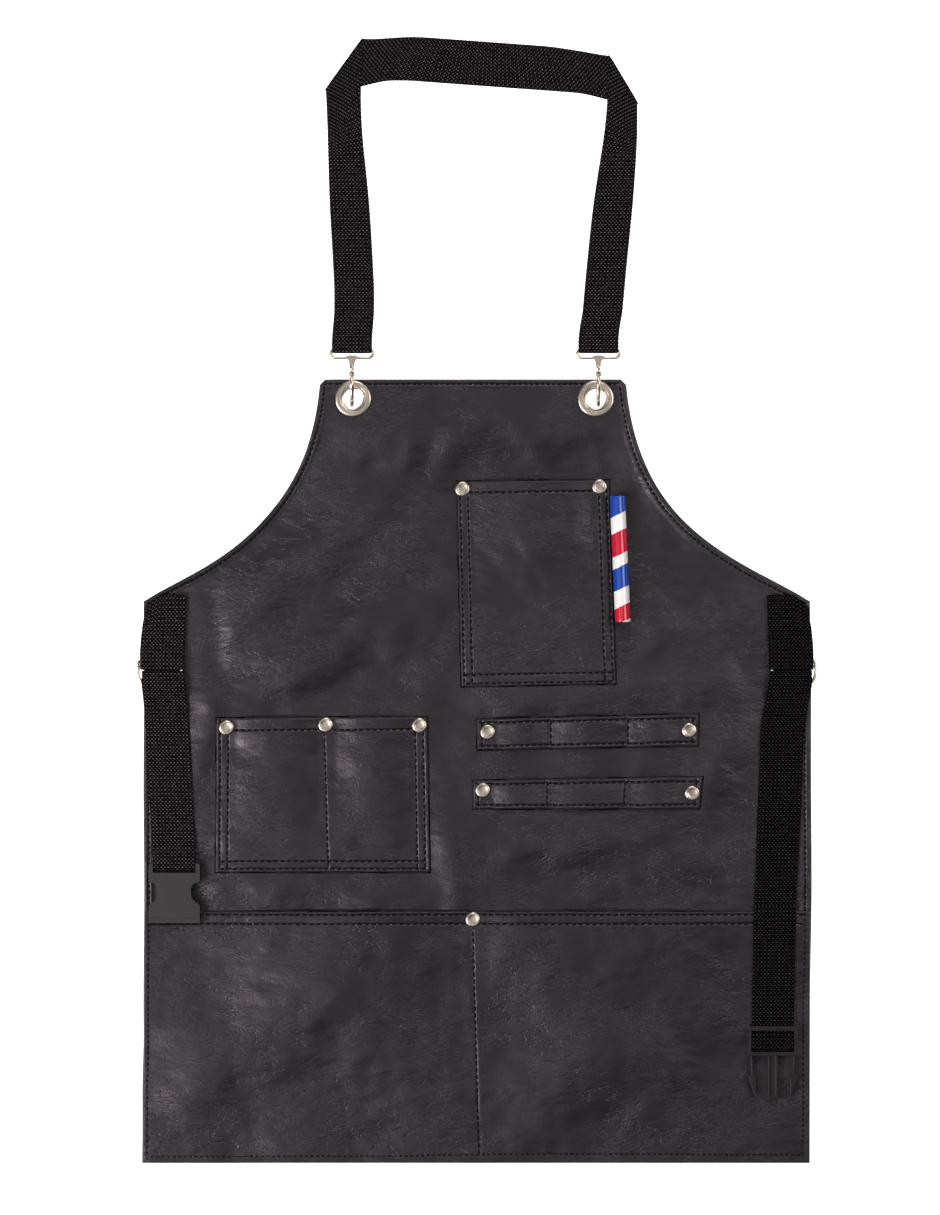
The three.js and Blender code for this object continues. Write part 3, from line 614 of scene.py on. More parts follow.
def panels():
    """Every panel by the name of the node it stands for."""
    swell = bpy.context.scene.apron_settings.pocket_swell / MM
    lower, side = [(0.13, 0.475), (0.515, 0.87)], [(0.095, 0.475), (0.565, 0.92)]
    return {
        "bottom_pocket": Panel(BOTTOM_POCKET, lower, 0.9 * swell, bottom_pocket_seams),
        "side_pocket": Panel(SIDE_POCKET, side, 0.75 * swell, side_pocket_seams, 0.1),
        "chest_pocket": Panel(CHEST_POCKET, [(0.1, 0.88)], swell, chest_pocket_seams),
        "upper_tool_loops": Panel(UPPER_LOOPS, LOOP_CELLS, 0.75 * swell, loop_seams, 0),
        "lower_tool_loops": Panel(LOWER_LOOPS, LOOP_CELLS, 0.75 * swell, loop_seams, 0),
    }


def make_panels(mats):
    for node, panel in panels().items():
        build_panel(node, panel, mats)


# ---------------------------------------------------------------- stitching
def stitch_row(line, pitch, height, seed):
    """The stitches along a line of [x, y] points: each one's middle, its direction and its length."""
    p = np.asarray(line, float)
    s = np.concatenate([[0], np.cumsum(np.linalg.norm(np.diff(p, axis=0), axis=1))])
    count = max(1, round(s[-1] / pitch))
    at = (np.arange(count) + 0.5) * s[-1] / count
    x, y = np.interp(at, s, p[:, 0]), np.interp(at, s, p[:, 1])
    half = 0.33 * pitch
    ahead_x = np.interp(at + half, s, p[:, 0]) - np.interp(at - half, s, p[:, 0])
    ahead_y = np.interp(at + half, s, p[:, 1]) - np.interp(at - half, s, p[:, 1])
    turn = np.arctan2(ahead_y, ahead_x) + np.random.default_rng(seed).normal(0, 0.035, count)
    return np.stack([x, y, height(x, y), turn, np.full(count, 0.36 * pitch)], -1)


def thread_piece(name, rows, mats):
    """One mesh of thread: each stitch is a six-sided bead, bowed up, whose ends dip into the leather."""
    radius = bpy.context.scene.apron_settings.thread_radius / MM
    stitches = np.concatenate(rows)
    along = np.array([-1, -0.86, -0.45, 0.45, 0.86, 1])
    thick = np.array([0.3, 0.8, 1, 1, 0.8, 0.3])
    bow = np.array([-0.55, -0.22, 0.02, 0.02, -0.22, -0.55])
    angle = np.linspace(0, 2 * math.pi, 6, endpoint=False)
    round_y, round_z = thick[:, None] * np.cos(angle), thick[:, None] * np.sin(angle) * 0.85
    template = np.stack([np.repeat(along[:, None], 6, 1), round_y, round_z], -1).reshape(-1, 3)
    sag = np.repeat(bow, 6)
    x, y, z, turn, half = (column[:, None] for column in stitches.T)
    ahead = template[:, 0] * half
    aside = template[:, 1] * radius
    points_x = x + ahead * np.cos(turn) - aside * np.sin(turn)
    points_y = y + ahead * np.sin(turn) + aside * np.cos(turn)
    points_z = z + template[:, 2] * radius + sag * 1.3 * radius
    points = np.stack([points_x, points_y, points_z], -1)
    quads = grid_quads(6, 6, close_v=True)[:, ::-1]
    k = np.arange(2)
    fan = np.stack([k, k + 1, 4 - k, 5 - k], axis=-1)
    quads = np.concatenate([quads, fan[:, ::-1], fan + 30])
    quads = quads[None] + 36 * np.arange(len(stitches))[:, None, None]
    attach(new_piece(name, points, quads.reshape(-1, 4), [mats["thread"]]), "apron")


def hem_line(which):
    """The seam inside one edge of the body."""
    gap = SEAM_IN[which]
    if which == "bottom":
        x = np.linspace(-293, 290, 60)
        return np.stack([x, hem_sway(x) + gap], -1)
    if which == "top":
        x = np.linspace(-133, 126, 30)
        return np.stack([x, np.full(30, BIB_Y - gap)], -1)
    y = np.linspace(7, BIB_Y - 6, 400)
    left, right = sides(y)
    k = steepness(y)
    return np.stack([left + gap * k if which == "left" else right - gap * k, y], -1)


def make_stitching(mats):
    """The hems' seams in one piece, then each panel's seams in one piece."""

    def on_hem(x, y):
        return ground(x, y) - 0.1 + 1.3 * smooth(227, 224, y)

    rows = [stitch_row(hem_line(which), 4.95, on_hem, k) for k, which in enumerate(SEAM_IN)]
    thread_piece("hem_thread", rows, mats)
    pitch = {"bottom_pocket": 6.15, "side_pocket": 5.9, "chest_pocket": 5.9}
    for name, panel in panels().items():

        def on_panel(x, y, panel=panel):
            return panel.height_at(*panel_place(panel, x, y)) + 0.6

        seams = enumerate(panel.seams)
        rows = [stitch_row(seam, pitch.get(name, 5.7), on_panel, k + 9) for k, seam in seams]
        thread_piece(name + "_thread", rows, mats)


def panel_place(panel, x, y):
    """How far along and up a panel a point lies, by four rounds of Newton's method on its bilinear map."""
    bl, br, tr, tl = panel.corners
    u = (x - bl[0]) / panel.width
    v = (y - bl[1]) / panel.height
    for _ in range(4):
        spot = panel.at(u * panel.width, v * panel.height)
        du = lerp(br - bl, tr - tl, v[..., None])
        dv = lerp(tl - bl, tr - br, u[..., None])
        ex, ey = x - spot[..., 0], y - spot[..., 1]
        det = du[..., 0] * dv[..., 1] - du[..., 1] * dv[..., 0]
        u = u + (ex * dv[..., 1] - ey * dv[..., 0]) / det
        v = v + (ey * du[..., 0] - ex * du[..., 1]) / det
    return u * panel.width, v * panel.height


# ---------------------------------------------------------------- rivets and eyelets
CAP = ((0.02, 1.62), (1.8, 1.66), (3.3, 1.82), (4.4, 2.08), (5.2, 2.14), (5.9, 1.92), (6.5, 1.45))
CAP_RIM = ((6.95, 0.7), (6.85, 0.1), (6.0, 0.0), (1.9, 0.0), (0.02, 0.0))


def make_rivets(mats):
    made = panels()
    for name, (x, y) in RIVETS.items():
        panel = next(p for n, p in made.items() if name.startswith(n.split("_tool")[0]))
        a, b = panel_place(panel, np.array([x]), np.array([y]))
        a, b = np.clip(a, 2, panel.width - 2), np.clip(b, 2, panel.height - 2)
        z = float(panel.height_at(a, b)[0]) + 0.02
        upper = resampled(CAP[::-1], 0.3)[::-1]
        profile = np.concatenate([upper, resampled((CAP[-1], *CAP_RIM[:2]), 0.2)[1:], CAP_RIM[2:]])
        head = turned(profile[::-1], 48, (x, y, z), ends=True)
        settle(new_piece(name + "_head", *head, [mats["nickel"]]), "apron", name + "_cap")
        recolour(name + "_post", mats["nickel"])


# The profiles of an eyelet's barrel and flange, and of the washer under it, as [radius, height] points.
BARREL = (
    *((8.7, -3.2), (8.7, 0.7), (9.0, 1.3), (9.7, 1.6), (10.4, 1.45), (10.75, 0.45), (11.15, 0.4)),
    *((11.5, 1.0), (12.4, 1.0), (13.6, 1.1), (14.8, 0.98), (15.6, 0.7), (16.1, 0.2), (15.9, -0.1)),
    *((12.0, -0.1), (9.6, -0.1), (9.55, -1.6), (9.5, -3.4), (9.0, -3.5), (8.7, -3.2)),
)
WASHER = ((9.8, -2.6), (15.4, -2.6), (16.1, -2.9), (16.0, -3.4), (12.0, -3.55), (9.8, -3.3), (9.8, -2.6))


def make_eyelets(mats):
    for side, x in EYELET_X.items():
        centre = (x, EYELET_Y, 2.4 + LIFT)
        barrel = turned(resampled(BARREL, 0.35)[::-1], 96, centre)
        washer = turned(resampled(WASHER, 0.5)[::-1], 72, centre)
        shapes = {"_eyelet_barrel": (barrel, "_eyelet"), "_eyelet_back": (washer, "_eyelet_washer")}
        for name, (shape, node) in shapes.items():
            settle(new_piece(side + name, *shape, [mats["nickel"]]), "apron", side + node)


# ---------------------------------------------------------------- snap hooks
def on_ring(degrees):
    """Points round the eyelet on the hook's own ring, angles in degrees from +y towards +z."""
    a = np.radians(np.asarray(degrees, float))
    return np.stack([np.zeros_like(a), 13 + 8.8 * np.cos(a), HOOK_Z + 8.8 * np.sin(a)], -1)


def shape_shank():
    """The hook's bar: round the ring and up to its blunt nose, with the slotted boss and the swivel pin."""
    nose = np.array([(0, 4, 2.3), (0, -1.6, 3.6), (0, -5.2, 6.8), (0, -5.0, 10.6), (0, -1.9, 13.3)])
    path = resampled(np.concatenate([on_ring([-8, -25, -45, -68, -92]), nose]), 0.7)
    parts = [swept(path, 1.8, 20, blunt=0.9)]
    parts.append(block((-2.3, 19.9, 7.4), (2.3, 24.2, 12.5)))
    parts.append(block((-2.3, 19.9, 10.4), (-1.35, 24.2, 16.6), 7))
    parts.append(block((1.35, 19.9, 10.4), (2.3, 24.2, 16.6), 7))
    parts.append(block((-2.2, 23.5, 10.4), (2.2, 24.2, 16.5), 7))
    parts.append(swept([(0, 23.6, HOOK_Z), (0, 25, HOOK_Z), (0, 27.8, HOOK_Z)], 0.88, 14))
    parts.append(swept([(0, 27.6, HOOK_Z), (0, 28.4, HOOK_Z)], 1.55, 18, blunt=0.2))
    return joined(*parts)


def shape_gate():
    """The gate: a bar over the top of the ring that closes on the nose, with the barrel it turns on."""
    front = on_ring([45, 60, 75, 90, 108, 125])
    path = np.concatenate([[(0, 20.8, 14.7)], front, [(0, 4.2, 16.7), (0, 0.7, 15.1)]])
    path = resampled(path, 0.7)
    wide = lerp(lerp(1.6, 2.1, smooth(1, 9, path[:, 1])), 0.68, smooth(18.4, 19.6, path[:, 1]))
    bar = swept(path, 1.6, 20, blunt=0.9)
    points = bar[0].copy()
    points[:, 0] *= np.interp(points[:, 1], path[::-1, 1], wide[::-1]) / 1.6
    barrel = swept([(-0.95, 21.4, 14.7), (0.95, 21.4, 14.7)], 1.58, 20, blunt=0.1, up=(0, 0, 1))
    return joined((points, bar[1]), barrel)


def shape_eye():
    """The strap eye: a rounded rectangular frame on a flat tapered post that ends in a collar."""
    x, low, high, r = 19.0 - 4.2, 36.3 + 4.2, EYE_BAR_Y - 4.2, 4.2
    corners = ((x, high, r, 0), (-x, high, r, 90), (-x, low, r, 180), (x, low, r, 270))
    loop = quarter_rounds(corners, HOOK_Z, 8, 0.8)
    bar = swept(loop, 1.3, 16, closed=True, power=2.3, up=(0, 0, 1))
    y = np.linspace(27.4, 36.4, 16)
    half = np.interp(y, [27.4, 30.5, 33.2, 34.8, 36.4], [2.0, 2.3, 2.9, 3.8, 5.6])
    post = swept(np.stack([np.zeros(16), y, np.full(16, HOOK_Z)], -1), half, 20, power=5)
    plate = post[0].copy()
    plate[:, 2] = HOOK_Z + np.clip(plate[:, 2] - HOOK_Z, -1.5, 1.5)
    collar = swept([(0, 25.6, HOOK_Z), (0, 27.4, HOOK_Z), (0, 29.4, HOOK_Z)], 1.95, 24, blunt=0.25, power=3)
    return joined(bar, (plate, post[1]), collar)


def make_hooks(mats):
    shapes = {
        "_hook_shank": (shape_shank(), "_hook", "_snap_hook"),
        "_hook_latch": (shape_gate(), "_hook_gate", "_gate"),
        "_strap_eye": (shape_eye(), "_hook_eye", "_eye"),
    }
    for side, x in HOOK_X.items():
        for name, ((points, quads), node, body) in shapes.items():
            piece = new_piece(side + name, points + (x, EYELET_Y, 0), quads, [mats["nickel"]])
            settle(piece, side + body, side + node)
        for node in (side + "_gate_pin", side + "_gate_spring"):
            recolour(node, mats["nickel"])


# ---------------------------------------------------------------- webbing
# The yarns' places over half the width, as shares of it, and the whole row of them.
HALF_ACROSS = (0.15, 0.27, 0.36, 0.42, 0.46, 0.484, 0.496, 0.5)
ACROSS = np.array([*(-t for t in HALF_ACROSS[::-1]), 0, *HALF_ACROSS])
SCALLOP = 3.5


def ribbon(name, middle, materials):
    """Webbing round its middle surface, a grid of yarns by steps. The selvages scallop once a weft, and the
    half thickness across is 0.75 * sqrt(1 - |2t|^8), so that both edges are round."""
    step = np.linalg.norm(np.diff(middle, axis=1), axis=-1)
    along = np.concatenate([np.zeros((len(middle), 1)), np.cumsum(step, axis=1)], axis=1)
    width = np.linalg.norm(middle[-1] - middle[0], axis=-1)
    aside = unit(np.gradient(middle, axis=0))
    t = ACROSS[:, None]
    bump = 0.3 * np.abs(np.sin(math.pi * along / SCALLOP)) * smooth(0.4, 0.5, np.abs(t)) * np.sign(t)
    middle = middle + aside * bump[..., None]
    normal = unit(np.cross(aside, np.gradient(middle, axis=1)))
    half = 0.75 * np.sqrt(np.maximum(1 - np.abs(2 * t) ** 8, 0.03))
    uv = np.stack([t * width[None], np.broadcast_to(along.mean(axis=0), along.shape)], -1)
    return shell(name, middle + normal * half[..., None], middle - normal * half[..., None], materials, uv)


def strap_grid(path, width, centre, ground_lift=None):
    """The middle surface of a strap along a path of [y, z] points, its width along x about centre(y)."""
    y, z = evened(resampled(path, 0.8), 0.85).T
    x = centre(y)[None] + ACROSS[:, None] * width(y)[None]
    y = np.broadcast_to(y, x.shape)
    z = np.broadcast_to(z, x.shape)
    if ground_lift is not None:
        z = z + ground_lift(x, y)
    return np.stack([x, y, z], -1)


BAND_W = 39.6
BAND_Z = 0.85
RISER_Z = 2.55
FOLD = {"left": ((-134.9, 959.5), (-101.5, 1006.0)), "right": ((117.5, 991.0), (143.6, 947.5))}
RISERS = {
    "left": {"foot": HOOK_X["left"], "shift": 2, "start": 780, "lean": -0.029, "narrow": 29},
    "right": {"foot": HOOK_X["right"], "shift": 3, "start": 750, "lean": 0.0474, "narrow": 27.6},
}


def riser_grid(side):
    """A riser's yarns from its hidden tail, round the eye's bar, up to the fold line and round the fold."""
    r = RISERS[side]
    loop = arc(EYELET_Y + EYE_BAR_Y, HOOK_Z, 3.25, -70, -290, 12)
    main = [(735, 13.2), (743, 11.3), (752, 11.1), (800, 8.6), (840, 6.4), (880, 4.6), (900, 3.75)]
    path = np.concatenate([[(752, 9.4), (743, 9.5), (735, 8.3)], loop, main])
    y, z = evened(resampled(path, 0.8), 0.85).T

    def centre(at):
        lean = r["lean"] * np.maximum(0, at - r["start"]) ** 1.15
        return r["foot"] + r["shift"] * smooth(733, 765, at) + lean

    def width(at):
        return lerp(LOOP_W - 1, r["narrow"], smooth(840, 960, at))

    t = ACROSS[:, None] * (1 if side == "left" else -1)
    (ax, ay), (bx, by) = FOLD[side]
    end_x, end_y = lerp(ax, bx, t + 0.5), lerp(ay, by, t + 0.5)
    k = np.linspace(0, 1, 110)[None, 1:]
    last_y = lerp(900.0, end_y, k)
    last_z = np.interp(last_y, [900, 910, 940, 1100], [3.75, 3.4, RISER_Z, RISER_Z])
    all_y = np.concatenate([np.broadcast_to(y, (len(t), len(y))), last_y], axis=1)
    all_z = np.concatenate([np.broadcast_to(z, (len(t), len(z))), last_z], axis=1)
    all_x = centre(all_y) + t * width(all_y)
    late = np.concatenate([np.zeros(len(y)), k[0] ** 2])
    all_x = all_x + (end_x - centre(end_y) - t * width(end_y)) * late
    free = smooth(760, 800, all_y) * (1 - smooth(900, 940, all_y))
    all_z = all_z + 0.35 * free * waves(all_x, all_y, 31, 70)
    corner = np.stack([all_x[:, -1], all_y[:, -1]], -1)
    out = unit(np.array([ay - by, bx - ax], float))
    turn = np.linspace(0, math.pi, 9)[1:-1]
    r_fold = (RISER_Z - BAND_Z) / 2
    round_xy = corner[:, None] + out * (r_fold * np.sin(turn))[None, :, None]
    round_z = np.broadcast_to(BAND_Z + r_fold * (1 + np.cos(turn)), round_xy.shape[:2])
    riser = np.stack([all_x, all_y, all_z], -1)
    fold = np.concatenate([round_xy, round_z[..., None]], -1)
    return np.concatenate([riser, fold], axis=1), corner


def band_middle(x):
    """The y of the band's middle line: it slopes a little and sags towards both folds."""
    return 984.2 - 0.0727 * x - 3 * smooth(-55, -105, x) - smooth(95, 120, x)


def make_neck_strap(mats):
    """One strip of webbing: up the left riser, over the fold, along the band, over the other fold, down."""
    left, left_corner = riser_grid("left")
    right, right_corner = riser_grid("right")
    k = np.linspace(0, 1, 300)[None]
    x = lerp(left_corner[:, :1], right_corner[:, :1], k)
    lane = ACROSS[:, None] * BAND_W
    y = band_middle(x) + lane
    for corner, reach in ((left_corner, 60), (right_corner, -60)):
        off = corner[:, 1:] - band_middle(corner[:, :1]) - lane
        y = y + off * (1 - smooth(0, reach, x - corner[:, :1]))
    z = BAND_Z + 0.25 * np.maximum(0, waves(x, y, 17, 90)) * smooth(-95, -60, x) * (1 - smooth(80, 110, x))
    band = np.stack([x, y, z * np.ones_like(x)], -1)
    middle = np.concatenate([left, band, right[:, ::-1]], axis=1)
    piece = ribbon("neck_webbing", middle, [mats["webbing"]])
    settle(piece, "neck_strap", "neck_strap")


FEMALE = {"x": -269.8, "bar": 264.8, "z": 8.7}
MALE = {"x": 264.6, "bar": 109.5, "z": 7.5}
WRAP_R = 1.5 + 0.4 + WEB_T / 2
LOOP_R = D_Z - WEB_LOW
RING_TURN = [*arc(437.7, D_Z, LOOP_R, -90, 90, 10), (424, D_Z + LOOP_R)]
# The left strap's sewn tail is hidden under it; the right strap's lies on top.
LEFT_RING_END = [
    (403, WEB_LOW),
    *RING_TURN,
    (416, WEB_LOW + WEB_T + 0.35),
    (405, WEB_LOW + WEB_T + 0.2),
    (396, WEB_LOW + 0.1),
]
RIGHT_RING_END = [
    (401.5, WEB_LOW + WEB_T + 0.15),
    (408, WEB_LOW + WEB_T + 0.2),
    (415, WEB_LOW + WEB_T + 1.2),
    *RING_TURN[::-1],
    (424, WEB_LOW),
    (405, WEB_LOW),
]
LEFT_STRAP = [
    *LEFT_RING_END,
    (380, WEB_LOW),
    (320, WEB_LOW),
    (301, WEB_LOW + 0.1),
    (293, WEB_LOW + WEB_T + 0.3),
    (280, WEB_LOW + WEB_T + 2.2),
    (270, FEMALE["z"] + WRAP_R),
    *arc(FEMALE["bar"], FEMALE["z"], WRAP_R, 90, 270, 10),
    (270, FEMALE["z"] - WRAP_R),
    (280, WEB_LOW + 0.6),
    (289, WEB_LOW),
]
RIGHT_STRAP = [
    *RIGHT_RING_END,
    (380, WEB_LOW),
    (240, WEB_LOW),
    (228, ON_POCKET + 0.1),
    (180, ON_POCKET),
    (138, ON_POCKET + 0.1),
    (131, ON_POCKET + WEB_T + 0.3),
    (126, ON_POCKET + WEB_T + 0.2),
    (119, ON_POCKET + WEB_T + 0.4),
    (115, MALE["z"] + WRAP_R - 0.5),
    (109, MALE["z"] + WRAP_R),
    *arc(104.2, MALE["z"], WRAP_R, 90, 270, 11),
    (109, MALE["z"] - WRAP_R),
    (114, ON_POCKET + 0.1),
    (127, ON_POCKET),
]


def strap_width(y):
    """The straps are widest on the body, gathered a little at the buckle and in the ring."""
    return lerp(WEB_W, 38.6, smooth(260, 330, y)) - 1.6 * smooth(430, 437, y)


# The straps' middle lines, as stations of [y, x].
MIDDLES = {
    "left": (
        *((230, -269.8), (272, -270.4), (310, -272.3), (355, -274.8), (400, -277.4)),
        *((425, -279.6), (440, -281.0)),
    ),
    "right": (
        *((90, 264.6), (135, 264.7), (229, 266.6), (278, 268.8), (339, 271.6), (392, 273.2)),
        *((408, 276.5), (425, 280.2), (440, 281.3)),
    ),
}
# Each waist strap: its path, the y of its bend, and the bodies and nodes on either side of the bend.
WAIST = {
    "left": (LEFT_STRAP, 306, ("left_waist", "socket_half"), ("left_waist_strap", "left_strap_end")),
    "right": (RIGHT_STRAP, 142, ("right_waist", "prong_half"), ("right_waist_strap", "right_strap_end")),
}
# The sewn tab that holds each D-ring.
TAB = [
    *((506, WEB_LOW), (480, WEB_LOW), (444.6, WEB_LOW)),
    *arc(444.6, D_Z, LOOP_R, -90, -270, 10)[1:],
    (456, D_Z + LOOP_R),
    (466, WEB_LOW + WEB_T + 0.25),
    *((480, WEB_LOW + WEB_T + 0.2), (506, WEB_LOW + WEB_T + 0.2)),
]


def shape_ring(sign):
    """A D-ring of round wire, its flat bar up and its lower corners wide."""
    x, depth, small, big = 19.3, 23, 1.9, 12
    corners = ((x - small, -small, small, 0), (small - x, -small, small, 90))
    corners += ((big - x, big - depth, big, 180), (x - big, big - depth, big, 270))
    loop = quarter_rounds(corners, 0.0, 12, 0.9) + (sign * (D_X + 2.0), D_BAR_Y, D_Z)
    return swept(loop, 1.35, 16, closed=True, up=(0, 0, 1))


def make_waist_straps(mats):
    """The straps from ring to buckle, then the sewn tabs and the rings. Those on the right take a darker
    copy of the webbing, with less painted sheen on its floats: painted shade.
    """

    def eased(y, stations):
        """A smooth line through the stations: the mean of five straight interpolations a little apart."""
        at, x = np.array(stations, float).T
        return sum(np.interp(np.asarray(y, float) + d, at, x) for d in (-14, -7, 0, 7, 14)) / 5

    def follow(x, y):
        return lie(x, y) * smooth(440, 400, y) + 0.5 * bell(y - 150, 30) * (x > 0)

    look = {"left": mats["webbing"], "right": mats["webbing_back"]}
    for side, (path, bend, bodies, nodes) in WAIST.items():
        grid = strap_grid(path, strap_width, lambda y, side=side: eased(y, MIDDLES[side]), follow)
        piece = ribbon(side + "_waist_webbing", grid, [look[side]])
        x, y = float(eased(bend, MIDDLES[side])) * MM, bend * MM + HEM_Y
        y + 0.006
        y - 0.006
        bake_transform(piece)
        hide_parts(*nodes)
        side + "_ring"
    for side, sign in (("left", -1), ("right", 1)):
        grid = strap_grid(
            TAB,
            lambda y: lerp(39.2, 37.4, smooth(465, 495, y)),
            lambda y, sign=sign: sign * (D_X - 0.2 - 2.6 * smooth(455, 505, y)),
            lambda x, y: lie(x, y) * smooth(455, 470, y),
        )
        shoulder = 508.5 - 0.85 * np.maximum(0, np.abs(grid[..., 0]) - 284)
        grid[..., 1] += np.maximum(0, grid[..., 1] - 480) / 26 * (shoulder - 506)
        piece = ribbon(side + "_tab_webbing", grid, [look[side]])
        settle(piece, "apron", side + "_side_tab")
        side + "_ring"
        ring = new_piece(side + "_ring", *shape_ring(sign), [mats["nickel"]])
        settle(ring, side + "_waist", side + "_d_ring")


# ---------------------------------------------------------------- buckle and tube
def softened(name, node, body, mats, bevel):
    """A copy of a CAD node's solid, merged, with its flat faces made whole and its edges rounded."""
    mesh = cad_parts[node].data.copy()
    mesh.name = name
    work = bmesh.new()
    work.from_mesh(mesh)
    bmesh.ops.remove_doubles(work, verts=work.verts, dist=1e-6)
    bmesh.ops.dissolve_limit(work, angle_limit=math.radians(1), verts=work.verts, edges=work.edges)
    for face in work.faces:
        face.smooth = True
    work.to_mesh(mesh)
    work.free()
    mesh.materials.clear()
    # The prong half takes the darker, less glossy copy of the plastic: painted shade.
    mesh.materials.append(mats["plastic" if body == "socket_half" else "plastic_prong"])
    piece = bpy.data.objects.new(name, mesh)
    bpy.context.scene.collection.objects.link(piece)
    rounding = piece.modifiers.new("Rounding", "BEVEL")
    rounding.width = bevel * MM
    rounding.segments = 3
    rounding.limit_method = "ANGLE"
    rounding.angle_limit = math.radians(28)
    piece.modifiers.new("Flat faces", "WEIGHTED_NORMAL").weight = 90
    settle(piece, body, node)


def make_buckle(mats):
    softened("socket_shell", "buckle_socket", "socket_half", mats, 0.7)
    softened("prong_frame", "buckle_frame", "prong_half", mats, 0.5)
    softened("left_flex_arm", "buckle_left_arm", "left_arm", mats, 0.6)
    softened("right_flex_arm", "buckle_right_arm", "right_arm", mats, 0.6)


def make_tube(mats):
    """The striped tube: a round-rimmed profile turned about its own axis, then laid along the pocket."""
    r, rim, bore, length, lean = 7.0, 0.5, 5.4, TUBE_LENGTH, math.radians(2.5)
    profile = [(bore + 0.2, 0), (r - rim, 0), (r, rim), (r, 20), (r, length - 20), (r, length - rim)]
    profile += [(r - rim, length), (bore + 0.2, length), (bore, length - 0.3), (bore, 20), (bore, 0.3)]
    profile = evened(np.array([*profile, profile[0]], float), 1.2)
    points, quads = turned(profile, 64, (0, 0, 0))
    x, z, down = points.T
    uv = np.stack([x, down], -1)
    turned_x = 125.6 + x * math.cos(lean) + down * math.sin(lean)
    turned_y = 597 + x * math.sin(lean) - down * math.cos(lean)
    placed = np.stack([turned_x, turned_y, 9.5 + z], -1)
    piece = new_piece("candy_striped_tube", placed, quads, [mats["stripes"]], uv)
    settle(piece, "apron", "striped_tube")


# ---------------------------------------------------------------- materials
SHADED = {"Colour": "Color", "Roughness": "Float", "Height": "Float"}


def wire(tree, value, socket):
    """Puts a number or a colour on a socket, or links another node's output to it."""
    value = getattr(value, "socket", value)
    if isinstance(value, bpy.types.NodeSocket):
        tree.links.new(value, socket)
    else:
        socket.default_value = value


def node(tree, kind, inputs=None, **settings):
    made = tree.nodes.new(kind)
    for name, value in settings.items():
        setattr(made, name, value)
    for name, value in (inputs or {}).items():
        wire(tree, value, made.inputs[name])
    return made


class Value:
    """A number inside a node tree. Arithmetic on it adds math nodes."""

    def __init__(self, tree, socket):
        self.tree = tree
        self.socket = socket

    def __add__(self, other):
        return calc(self.tree, "ADD", self, other)

    def __sub__(self, other):
        return calc(self.tree, "SUBTRACT", self, other)

    def __rsub__(self, other):
        return calc(self.tree, "SUBTRACT", other, self)

    def __mul__(self, other):
        return calc(self.tree, "MULTIPLY", self, other)

    def __truediv__(self, other):
        return calc(self.tree, "DIVIDE", self, other)

    def __mod__(self, other):
        return calc(self.tree, "MODULO", self, other)

    def __pow__(self, other):
        return calc(self.tree, "POWER", self, other)

    def __abs__(self):
        return calc(self.tree, "ABSOLUTE", self)

    __radd__ = __add__
    __rmul__ = __mul__


def calc(tree, operation, *values, clamp=False):
    made = node(tree, "ShaderNodeMath", operation=operation, use_clamp=clamp)
    for value, socket in zip(values, made.inputs):
        wire(tree, value, socket)
    return Value(tree, made.outputs[0])


def clamped(value):
    return calc(value.tree, "ADD", value, 0.0, clamp=True)


def stepped(value, low, high):
    """Runs smoothly from 0 to 1 as value runs from low to high."""
    ends = {"Value": value, "From Min": low, "From Max": high}
    made = node(value.tree, "ShaderNodeMapRange", ends, interpolation_type="SMOOTHSTEP")
    return Value(value.tree, made.outputs["Result"])


def blended(tree, share, a, b):
    made = node(tree, "ShaderNodeMix", data_type="RGBA")
    wire(tree, share, made.inputs["Factor"])
    wire(tree, a, made.inputs[6])
    wire(tree, b, made.inputs[7])
    return made.outputs[2]


def split(tree, vector):
    """The x and y of a vector, as values."""
    parts = node(tree, "ShaderNodeSeparateXYZ", {"Vector": vector}).outputs
    return Value(tree, parts["X"]), Value(tree, parts["Y"])


def new_group(name, inputs, outputs):
    tree = bpy.data.node_groups.new(name, "ShaderNodeTree")
    for way, sockets in (("INPUT", inputs), ("OUTPUT", outputs)):
        for label, kind in sockets.items():
            tree.interface.new_socket(name=label, in_out=way, socket_type="NodeSocket" + kind)
    return tree, tree.nodes.new("NodeGroupInput").outputs, tree.nodes.new("NodeGroupOutput").inputs


def noise(tree, vector, scale, detail=3.0, rough=0.5, twist=0.0):
    values = {"Vector": vector, "Scale": scale, "Detail": detail, "Roughness": rough, "Distortion": twist}
    return Value(tree, node(tree, "ShaderNodeTexNoise", values).outputs[0])


def drawn_out(tree, vector, turn, scale):
    """A vector turned about z and scaled, so that a pattern in it runs one way."""
    values = {"Vector": vector, "Rotation": (0, 0, turn), "Scale": scale}
    return node(tree, "ShaderNodeMapping", values).outputs[0]


